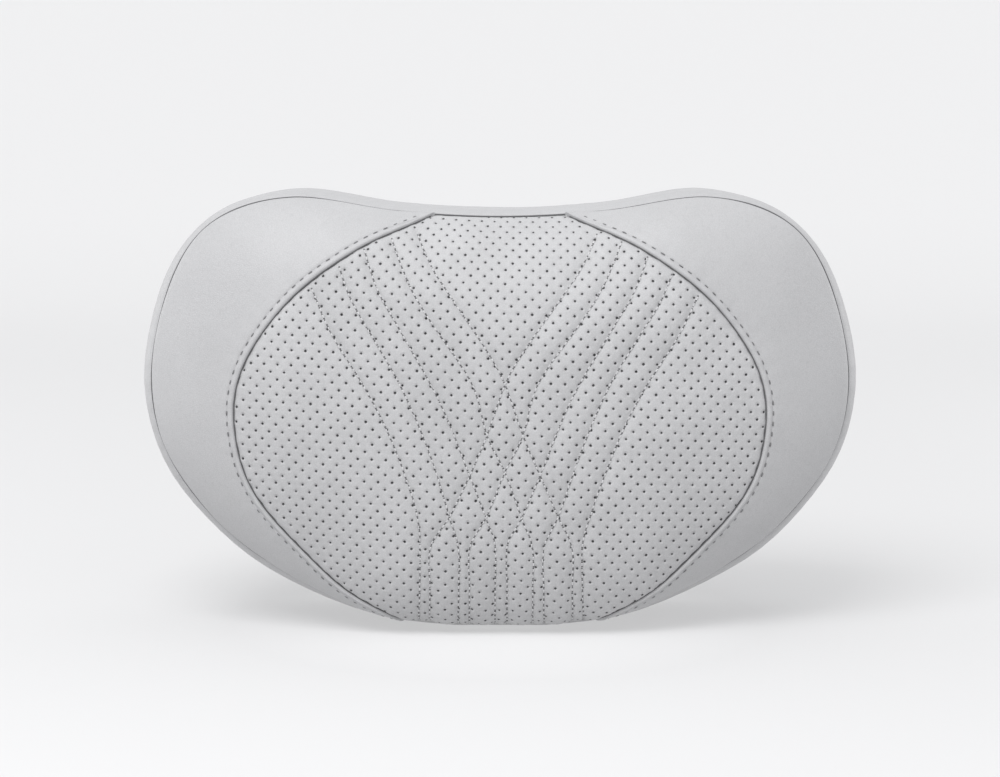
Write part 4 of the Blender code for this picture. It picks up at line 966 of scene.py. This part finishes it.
# ================================================================ plain side panels
def side_grid(seam, sign):
    """Pattern grid from a side seam out to the rim, and each row's relief."""
    columns = 360
    inner = resampled(seam, columns)
    rim = to_pattern(RIM)
    start = np.argmin(np.linalg.norm(rim - seam[0], axis=1))
    end = np.argmin(np.linalg.norm(rim - seam[-1], axis=1))
    step = -1 if sign > 0 else 1
    order = [start]
    while order[-1] != end:
        order.append((order[-1] + step) % len(rim))
    path = rim[order]
    path[0], path[-1] = seam[0], seam[-1]
    outer = resampled(path, columns)
    width = np.linalg.norm(outer - inner, axis=1)
    out = (outer - inner) / np.maximum(width, 1e-6)[:, None]
    squeeze = np.minimum(1.0, width / 24.0)
    rows, reliefs = [], []
    for gap, relief in LIP:
        rows.append(inner + out * (gap * squeeze)[:, None])
        reliefs.append(relief * np.ones(columns))
    first = LIP[-1][0] * squeeze
    last = width - EDGE[-1][0] * squeeze
    for t in np.linspace(0.0, 1.0, 16)[1:-1]:
        rows.append(inner + out * (first + (last - first) * t)[:, None])
        reliefs.append(np.zeros(columns))
    for gap, relief in reversed(EDGE):
        rows.append(outer - out * (gap * squeeze)[:, None])
        reliefs.append(relief * np.ones(columns))
    return np.array(rows), np.array(reliefs)


def outward(seam, offset):
    """The seam's line moved away from the centre panel."""
    moved = left_of(seam) * offset
    middle = len(seam) // 2
    if np.hypot(*(seam[middle] + moved[middle] - CENTRE)) < np.hypot(*(seam[middle] - CENTRE)):
        moved = -moved
    return seam + moved


def make_side_panel(side, sign, seam):
    """A plain panel with its folded lip, its topstitching and a dark cord of painted shade in its seam.
    """
    rows, reliefs = side_grid(seam, sign)
    pattern = rows.reshape(-1, 2)
    gap, along = nearest(pattern, seam)
    pucker = 0.12 * np.exp(-gap / 7.0) * gathers(along, 9.1, 17.0, start=sign)
    waves = 0.22 * wobble(pattern, 46.0, 3.0 + sign) * np.clip(gap / 12.0, 0.0, 1.0)
    points, _ = front_face(pattern, reliefs.ravel() + pucker + waves)
    faces = grid_faces(rows.shape[0], rows.shape[1], flip=sign > 0)
    panel = add_mesh(f"{side}_side_leather", points, faces, LEATHER, "leather")
    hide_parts(f"{side}_side_panel")

    row = outward(seam, TOPSTITCH_OFFSET)
    row = row[rim_gap(row) > 2.0]

    def in_ditch(at, lift):
        return front_face(at, lift - 0.14)

    add_mesh(f"{side}_topstitching",
             *stitches_on(row, TOPSTITCH_PITCH, TOPSTITCH_LENGTH, in_ditch, 0.34),
             TOPSTITCH_THREAD_AND_SHADE, "leather")
    # a dark cord in the seam's groove: painted shade
    buried = seam[rim_gap(seam) > 1.6]
    shade_cord_line, _ = front_face(buried, np.full(len(buried), -0.95))
    add_mesh(f"{side}_seam_shade_cord", *tube(shade_cord_line, 0.35), SEAM_SHADOW, "leather")


# ================================================================ gusset and back
def gusset_curl(y):
    """Share of the rim's inset that the gusset has curled in by depth y."""
    half = (REAR_SEAM_Y - FRONT_SEAM_Y) / 2
    past = abs(y - (REAR_SEAM_Y + FRONT_SEAM_Y) / 2) / half
    return max(0.0, (past - GUSSET_FLAT) / (1.0 - GUSSET_FLAT)) ** 2


def make_gusset():
    """The leather band, drawn in round its control panel."""
    columns = 900
    loop = resampled_loop(OUTLINE, columns)
    inward = left_of(loop, True)
    along = np.linspace(0.0, arc_length(loop)[-1], columns)
    rows = [(FRONT_SEAM_Y + gap, relief) for gap, relief in EDGE]
    rows += [(y, 0.0) for y in np.linspace(FRONT_SEAM_Y + 9.0, REAR_SEAM_Y - 9.0, 40)]
    rows += [(REAR_SEAM_Y - gap, relief) for gap, relief in reversed(EDGE)]
    points, cut = [], []
    for y, relief in rows:
        edge = min(y - FRONT_SEAM_Y, REAR_SEAM_Y - y)
        pucker = 0.16 * math.exp(-edge / 6.0) * gathers(along, 9.7, 23.0)
        wave = 0.25 * wobble(np.stack((along, np.full(columns, y)), axis=1), 52.0, 7.0)
        wave = np.where(loop[:, 1] < 3.0, 0.0, wave) * min(1.0, edge / 10.0)
        # drawn in towards the control panel, and cut away behind it
        past_y = np.maximum(abs(y - PANEL_Y) - PANEL_HALF_Y + PANEL_CORNER, 0.0)
        past_z = np.maximum(np.abs(loop[:, 1] - PANEL_Z) - PANEL_HALF_Z + PANEL_CORNER, 0.0)
        frame_gap = np.hypot(past_y, past_z) - PANEL_CORNER
        on_side = loop[:, 0] > 100.0
        pull = np.clip(loop[:, 0] - PANEL_X, 0.0, 2.5) * np.exp(-np.maximum(frame_gap, 0.0) / 4.0)
        inset = gusset_curl(y) * rim_inset(inward) - relief - pucker - wave + pull
        ring = loop + inward * np.asarray(inset)[:, None]
        ring[:, 1] = np.maximum(ring[:, 1], 0.0)
        points.append(np.stack((ring[:, 0], np.full(columns, y), ring[:, 1]), axis=1))
        cut.append(on_side & (frame_gap < 0.4))
    cut = np.concatenate(cut)
    faces = grid_faces(len(rows), columns, wrap=True, flip=True)
    faces = faces[~cut[faces].any(axis=1)]
    gusset = add_mesh("leather_gusset", np.vstack(points), faces, LEATHER, "leather")
    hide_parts("side_gusset")
    # dark cords in the rim seams' grooves: painted shade
    path = RIM + left_of(RIM, True) * 0.6
    for name, y in (("front_rim_shade_cord", FRONT_SEAM_Y + 0.6), ("rear_rim_shade_cord", REAR_SEAM_Y)):
        line = np.stack((path[:, 0], np.full(len(path), y), path[:, 1]), axis=1)
        add_mesh(name, *tube(line, 0.42), SEAM_SHADOW, "leather")


def rear_y(share):
    """Depth of the back at a share of the way to its rim: flat, then rounded over."""
    past = np.clip((share - REAR_FLAT) / (1.0 - REAR_FLAT), 0.0, 1.0)
    return REAR_SEAM_Y + (REAR_Y - REAR_SEAM_Y) * np.sqrt(1.0 - past ** 2)


def rear_relief(points):
    """Soft waves of the padded back, at rest against the zip and the strap."""
    angle, far = polar(points)
    share = far / rim_reach(angle)
    slack = np.clip((0.95 - share) / 0.2, 0.0, 1.0)
    zip_gap = np.hypot(np.maximum(np.abs(points[:, 0]) - ZIP_HALF, 0.0),
                       np.maximum(np.abs(points[:, 1] - ZIP_Z) - ZIP_TAPE / 2, 0.0))
    strap_gap = np.maximum(np.abs(points[:, 1] - STRAP_Z) - STRAP_WIDTH / 2, 0.0)
    calm = np.clip(zip_gap / 14.0, 0.0, 1.0) * np.clip(0.25 + strap_gap / 16.0, 0.0, 1.0)
    swell = calm + 0.6 * calm * wobble(points, 60.0, 11.0)
    pucker = 0.22 * np.exp(-zip_gap / 5.0) * gathers(points[:, 0], 10.5, 13.0, 1.7)
    sewn = 0.5 * np.exp(-zip_gap / 1.8)
    return slack * (swell + pucker) - sewn - 0.5 * np.exp(-strap_gap / 3.0) * slack


def make_rear():
    """The fabric back: rings over its rounded edge, then a fine net round the zip's slot."""
    columns = 480
    loop = resampled_loop(RIM, columns)
    inward = left_of(loop, True)
    along = np.linspace(0.0, arc_length(loop)[-1], columns)
    folds = 0.14 * gathers(along, 8.3, 19.0, 1.6)
    turns = 1.0 - (1.0 - np.linspace(0.0, 1.0, 20)) ** 1.6
    shares = 1.0 - (1.0 - REAR_FLAT) * (1 - np.cos(turns * math.pi / 2))
    shares = np.append(shares, NET_SHARE)
    shares[0] = 0.9985
    hem = [(gap, relief) for gap, relief in EDGE if gap < 3.0]
    flat_rings = [loop - inward * relief for _, relief in hem]
    flat_rings += [CENTRE + (loop - CENTRE) * share for share in shares]
    depths = [np.full(columns, REAR_SEAM_Y + gap) for gap, _ in hem]
    for share in shares:
        depths.append(rear_y(share) + folds * math.exp(-(1.0 - share) / 0.03))
    border = flat_rings[-1]

    slot = round_box(ZIP_HALF + 0.3, ZIP_TAPE / 2 + 0.3, 0.6, 2) + (0.0, ZIP_Z)
    slot = resampled_loop(slot, 170)
    grid_x, grid_z = np.meshgrid(np.arange(-165.0, 165.0, NET_STEP), np.arange(3.0, 207.0, NET_STEP))
    grid_x[1::2] += NET_STEP / 2
    net = np.stack((grid_x.ravel(), grid_z.ravel()), axis=1)
    angle, far = polar(net)
    near_slot = (np.abs(net[:, 0]) < ZIP_HALF + 2.2) & (np.abs(net[:, 1] - ZIP_Z) < ZIP_TAPE / 2 + 2.0)
    net = net[(far < rim_reach(angle) * NET_SHARE - 1.6) & ~near_slot]
    flat = np.vstack((border, slot, net))
    edges = [(i, (i + 1) % columns) for i in range(columns)]
    edges += [(columns + i, columns + (i + 1) % len(slot)) for i in range(len(slot))]
    corners, _, triangles, _, _, _ = delaunay_2d_cdt([Vector(p) for p in flat], edges, [], 0, 1e-4)
    corners = np.array([tuple(c) for c in corners])
    triangles = np.array([t for t in triangles if len(t) == 3])
    middles = corners[triangles].mean(axis=1)
    triangles = triangles[inside(middles, border) & ~inside(middles, slot)]

    rows = len(flat_rings) - 1
    flat = np.vstack(flat_rings[:-1] + [corners])
    heights = np.concatenate(depths[:-1] + [np.full(len(corners), REAR_Y)])
    heights += rear_relief(flat)
    points = np.stack((flat[:, 0], heights, flat[:, 1]), axis=1)
    faces = grid_faces(rows + 1, columns, wrap=True).tolist()
    faces += (triangles + rows * columns).tolist()
    first, start = (rows + 1) * columns, len(points)
    lip = points[first:first + len(slot)]
    points = np.vstack([points] + [lip - (0.0, drop, 0.0) for drop in (0.5, 1.4)])
    for upper, lower in ((first, start), (start, start + len(slot))):
        faces += [[upper + i, upper + (i + 1) % len(slot), lower + (i + 1) % len(slot), lower + i]
                  for i in range(len(slot))]
    panel = add_mesh("rear_fabric_panel", points, faces, REAR_FABRIC, "rear_fabric")
    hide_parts("rear_panel")


# ================================================================ strap and zip
def strap_surface():
    """Stations along the strap: x, depth y of the back there, and the way it leans outward."""
    x = np.linspace(-STRAP_HALF, STRAP_HALF, 221)
    depth = np.full(len(x), -1e9)
    for z in (STRAP_Z - STRAP_WIDTH / 2, STRAP_Z, STRAP_Z + STRAP_WIDTH / 2):
        angle, far = polar(np.stack((x, np.full(len(x), z)), axis=1))
        depth = np.maximum(depth, rear_y(np.minimum(far / rim_reach(angle), 1.0)))
    slope = np.clip((np.abs(x) - STRAP_TURN_X) / STRAP_TURN, 0.0, 1.0)
    return x, depth, unit(np.stack((np.sign(x) * slope, 1.0 - 0.4 * slope), axis=1))


STRAP_X, STRAP_DEPTH, STRAP_LEAN = strap_surface()


def on_strap(points, lift):
    """Places and normals at a lift above the strap's underside."""
    x, z = points[:, 0], points[:, 1]
    depth = np.interp(x, STRAP_X, STRAP_DEPTH)
    lean = unit(np.stack([np.interp(x, STRAP_X, STRAP_LEAN[:, k]) for k in (0, 1)], axis=1))
    rise = lift + 0.45
    place = np.stack((x + lean[:, 0] * rise, depth + lean[:, 1] * rise, z), axis=1)
    return place, np.stack((lean[:, 0], lean[:, 1], np.zeros(len(x))), axis=1)


def make_strap():
    """Ribbed elastic across the back, box-stitched at both ends."""
    half = STRAP_WIDTH / 2
    across = np.linspace(-half + 0.4, half - 0.4, 81)
    ribs = STRAP_THICK - 0.12 + 0.12 * np.cos(across * math.tau / 2.1)
    edge = np.array((half - 0.1, half, half - 0.1))
    z = np.concatenate((across, edge, across[::-5], -edge[::-1]))
    lift = np.concatenate((ribs, (1.2, 0.8, 0.4), np.zeros(len(across[::-5])), (0.4, 0.8, 1.2)))
    flat = np.stack((np.repeat(STRAP_X, len(z)), STRAP_Z + np.tile(z, len(STRAP_X))), axis=1)
    rings, _ = on_strap(flat, np.tile(lift, len(STRAP_X)))
    strap = add_mesh("elastic_strap", *skin(rings.reshape(len(STRAP_X), len(z), 3)), ELASTIC,
                     "elastic")
    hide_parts("headrest_strap")
    parts = []
    box_x, box_z = STRAP_BOX_HALF, half - STRAP_BOX_MARGIN
    for sign in (1, -1):
        lines = (closed_line(round_box(box_x, box_z, 0.5, 2)),
                 np.array(((-box_x, -box_z), (box_x, box_z))),
                 np.array(((-box_x, box_z), (box_x, -box_z))))
        for line in lines:
            parts.append(stitches_on(line + (sign * STRAP_BOX_X, STRAP_Z), 3.0, 2.3,
                                     lambda at, rise: on_strap(at, rise + 1.55), 0.3))
    stitching = add_mesh("strap_box_stitching", *joined_parts(parts), TOPSTITCH_THREAD_AND_SHADE, "elastic")


def on_back(points, lift):
    """Places and normals at a lift above the fabric back."""
    angle, far = polar(points)
    depth = rear_y(far / rim_reach(angle)) + rear_relief(points) + lift
    normal = np.tile((0.0, 1.0, 0.0), (len(points), 1))
    return np.stack((points[:, 0], depth, points[:, 1]), axis=1), normal


def make_zip():
    """Two woven tapes with interlocked teeth and stops, the slider, its pull and the stitching."""
    stations = np.linspace(-ZIP_HALF, ZIP_HALF, 161)
    tapes = []
    for sign in (1, -1):
        z = ZIP_Z + sign * np.array((1.0, 1.1, 2.6, 4.1, 4.2, 4.1, 2.6, 1.1))
        y = REAR_Y - np.array((0.7, 0.45, 0.4, 0.5, 0.8, 1.15, 1.1, 1.0))
        wave = 0.1 * np.sin(stations / 4.1 + sign) + 0.06 * np.sin(stations / 1.9)
        rings = np.stack((np.repeat(stations[:, None], len(z), axis=1),
                          y + wave[:, None] * (np.abs(z - ZIP_Z) > 2.0),
                          np.repeat(z[None], len(stations), axis=0)), axis=-1)
        tapes.append(skin(rings))
    tape = add_mesh("zip_tape", *joined_parts(tapes), ZIP_CLOTH, "black_plastic")
    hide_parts("zip_track")

    teeth = []
    for sign in (1, -1):
        offset = ZIP_TOOTH / 2 if sign > 0 else 0.0         # the rows interlock
        x = np.arange(-ZIP_HALF + 3.0 + offset, ZIP_HALF - 3.0, ZIP_TOOTH)
        reach = np.array((-0.35, 0.1, 0.7, 1.3, 1.75)) * sign
        paths = np.stack((np.repeat(x[:, None], len(reach), axis=1),
                          np.full((len(x), len(reach)), REAR_Y + 0.28),
                          ZIP_Z + np.repeat(reach[None], len(x), axis=0)), axis=-1)
        ups = np.tile((0.0, 1.0, 0.0), (len(x), len(reach), 1))
        teeth.append(rods(paths, ups, 0.46, sides=8))
    for end in (-1, 1):
        path = np.stack((np.full(5, end * (ZIP_HALF - 1.6)), np.full(5, REAR_Y + 0.15),
                         ZIP_Z + np.linspace(-2.0, 2.0, 5)), axis=-1)
        teeth.append(rods(path[None], np.tile((0.0, 1.0, 0.0), (1, 5, 1)), 0.62, sides=10))
    add_mesh("zip_teeth", *joined_parts(teeth), BLACK_PLASTIC, "black_plastic")

    seam = closed_line(round_box(ZIP_HALF + 2.2, ZIP_TAPE / 2 + 2.2, 1.2, 3) + (0.0, ZIP_Z))
    add_mesh("zip_stitching", *stitches_on(seam, 3.4, 2.5, on_back, 0.3),
             TOPSTITCH_THREAD_AND_SHADE, "rear_fabric")
    edges = ("BEVEL", {"width": 0.00018, "segments": 2, "limit_method": "ANGLE",
                       "angle_limit": math.radians(35.0)})
    copy_of("zip_slider", "zip_slider_body", NICKEL, "steel", edges)
    copy_of("zip_pull", "zip_pull_tab", NICKEL, "steel", edges)


# ================================================================ padding
def pad_face(pattern):
    """The front pad's face, drawn in under the quilting and the seams."""
    gap, _ = seam_gap(pattern)
    return quilt_height(pattern) - 1.7 - 1.6 * np.exp(-np.abs(gap) / 2.6)


def front_slab(near, far, edge):
    """Closed layer under the front face; edge is its share of the way to the rim."""
    turns = np.linspace(-math.pi, math.pi, 301)[:-1]
    shares = edge * (1.0 - (1.0 - np.linspace(0.0, 1.0, 76)) ** 1.2)
    shares[0] = 0.003
    flat = np.concatenate([ray_points(turns, full_arc(turns) * share) for share in shares])
    shape = (len(shares), len(turns), 3)
    face = front_face(flat, near(flat))[0].reshape(shape)
    back = front_face(flat, far(flat))[0].reshape(shape)
    return skin(np.concatenate((back, face[::-1])))


def make_padding():
    """Quilted front pad, mesh liner, and the foam blocks round and behind the mechanism."""
    pad = add_mesh("quilted_front_pad", *front_slab(
        pad_face, lambda flat: np.full(len(flat), -7.4), 0.955), FOAM, "foam")
    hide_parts("front_pad")

    def sag(flat):
        return -8.05 + 0.05 * wobble(flat, 30.0, 5.0)

    liner = add_mesh("mesh_liner_sheet", *front_slab(
        sag, lambda flat: sag(flat) - 0.6, 0.94), LINER, "liner")
    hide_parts("inner_liner")
    rounded = (("REMESH", {"mode": "VOXEL", "voxel_size": 0.003}),
               ("SMOOTH", {"factor": 0.5, "iterations": 4}))
    for node, name in (("foam_surround", "cut_foam_surround"), ("rear_pad", "cut_rear_pad")):
        copy_of(node, name, FOAM, "foam", *rounded)


# ================================================================ controls
def make_controls():
    """Bezel with its trim ring, the button in its light ring, and the jack with its contact pin."""
    edges = ("BEVEL", {"width": 0.0003, "segments": 2, "limit_method": "ANGLE",
                       "angle_limit": math.radians(40.0)})
    copy_of("control_bezel", "bezel_plate", BLACK_PLASTIC, "black_plastic", edges)
    rings = []      # the trim's section: how far it stands outside the panel's outline, and x
    for grow, x in ((-0.6, 168.3), (-0.6, 169.0), (-0.2, 169.35), (1.4, 169.4), (2.1, 169.1),
                    (2.35, 168.4), (2.35, 163.0), (1.6, 163.0), (1.6, 168.3)):
        loop = round_box(PANEL_HALF_Y + grow, PANEL_HALF_Z + grow, PANEL_CORNER + grow)
        rings.append(np.stack((np.full(len(loop), x), PANEL_Y + loop[:, 0],
                               PANEL_Z + loop[:, 1]), axis=1))
    add_mesh("bezel_trim", *skin(rings, closed=True), BLACK_PLASTIC, "black_plastic")
    glow = add_mesh("button_light_guide", *lathe_x(
        ((165.0, 6.85), (168.2, 6.85), (168.5, 7.1), (168.6, 7.6), (168.5, 8.1), (168.2, 8.35),
         (165.0, 8.35)), PANEL_Y, BUTTON_Z, closed=True), LENS, "light")
    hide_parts("button_light_ring")
    knob = add_mesh("dished_power_button", *lathe_x(
        ((164.8, 0.3), (164.8, 2.0), (166.6, 2.0), (166.75, 6.45), (169.25, 6.5), (169.65, 6.3),
         (169.85, 5.8), (169.75, 4.8), (169.5, 3.2), (169.4, 1.2), (169.4, 0.3)),
        PANEL_Y, BUTTON_Z), GREY_PLASTIC, "grey_plastic", body="button")
    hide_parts("power_button")
    socket = add_mesh("dc_jack_socket", *lathe_x(
        ((157.9, 0.3), (157.9, 5.2), (167.6, 5.2), (167.95, 5.0), (168.0, 3.5), (167.8, 3.1),
         (159.2, 3.1), (159.0, 0.3)), PANEL_Y, JACK_Z), BLACK_PLASTIC, "black_plastic")
    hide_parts("dc_jack")
    add_mesh("dc_jack_pin", *lathe_x(
        ((158.5, 0.2), (158.5, 1.0), (165.8, 1.0), (166.3, 0.85), (166.55, 0.4), (166.6, 0.1)),
        PANEL_Y, JACK_Z, 24), NICKEL, "steel")


# ================================================================ stage
def aimed(thing, place, target):
    """Puts a lamp or camera at a place, looking at a target, both in metres."""
    thing.location = place
    thing.rotation_mode = "QUATERNION"
    thing.rotation_quaternion = (Vector(target) - thing.location).to_track_quat("-Z", "Y")


def make_stage():
    """A pale floor that sweeps up into a wall all round, and soft studio light."""
    flat, bend, steps = 2000.0, 1600.0, 96
    turns = np.linspace(0.0, math.pi / 2, 25)
    radius = np.concatenate(((20.0, 300.0, 900.0), flat + bend * np.sin(turns), (flat + bend,)))
    height = np.concatenate((np.zeros(3), bend - bend * np.cos(turns), (bend * 1.5,)))
    around = math.tau * np.arange(steps) / steps
    rings = np.stack((radius[:, None] * np.cos(around), radius[:, None] * np.sin(around),
                      np.repeat(height[:, None] - 0.5, steps, axis=1)), axis=-1)
    points, faces = skin(rings)
    mesh = bpy.data.meshes.new("studio_floor")
    mesh.from_pydata((points * MM).tolist(), [], faces[:-1])
    mesh.shade_smooth()
    floor, node, shader, tree = new_material("pale_floor", (0.42, 0.42, 0.423), 0.8, specular=0.0)
    shader.inputs["Emission Color"].default_value = (1.0, 1.0, 1.005, 1.0)
    away = node("ShaderNodeVectorMath", {"operation": "LENGTH"}, Vector=object_space(node))
    far = away.outputs["Value"]
    # the floor glows more far off, and a little more right under the pillow: painted light that thins the
    # pillow's contact shadow
    glow = node("ShaderNodeMapRange", Value=far, From_Min=0.3, From_Max=2.6, To_Min=0.31,
                To_Max=0.47)
    # painted light: extra glow right under the pillow
    lift = node("ShaderNodeMapRange", Value=far, From_Min=0.02, From_Max=0.13, To_Min=0.15,
                To_Max=0.0)
    tree.links.new(added(node, glow.outputs["Result"], lift.outputs["Result"], 1.0),
                   shader.inputs["Emission Strength"])
    mesh.materials.append(floor)
    new_object("studio_floor", mesh)

    world = bpy.data.worlds.new("studio")
    world.use_nodes = True
    world.node_tree.nodes["Background"].inputs["Color"].default_value = (0.90, 0.905, 0.915, 1.0)
    world.node_tree.nodes["Background"].inputs["Strength"].default_value = 1.0
    bpy.context.scene.world = world
    bpy.context.scene.view_settings.view_transform = "Standard"

    def area(name, place, size, power):
        light = bpy.data.lights.new(name, "AREA")
        light.size = size
        light.energy = power
        aimed(new_object(name, light), place, (0.0, 0.0, 0.1))

    area("key_light", (-0.45, -1.05, 1.4), 1.0, 21.5)
    area("left_rim_light", (-1.3, 0.6, 0.3), 0.6, 2.5)
    area("right_rim_light", (1.3, 0.6, 0.3), 0.6, 3.5)


def make_camera():
    """The photograph's view: square on, and a little above."""
    camera = bpy.data.cameras.new("camera")
    camera.lens = 85.0
    camera.sensor_width = 36.0
    eye = new_object("camera", camera)
    target = Vector((0.0, 0.0, 0.1135))
    tilt = math.radians(6.0)
    away = 1.142
    aimed(eye, target + Vector((0.0, -math.cos(tilt) * away, math.sin(tilt) * away)), target)
    bpy.context.scene.camera = eye


make_camera()
make_stage()
finish_cad_nodes()
make_centre_panel()
make_side_panel("left", -1, LEFT_SEAM)
make_side_panel("right", 1, RIGHT_SEAM)
make_gusset()
make_rear()
make_strap()
make_zip()
make_padding()
make_controls()
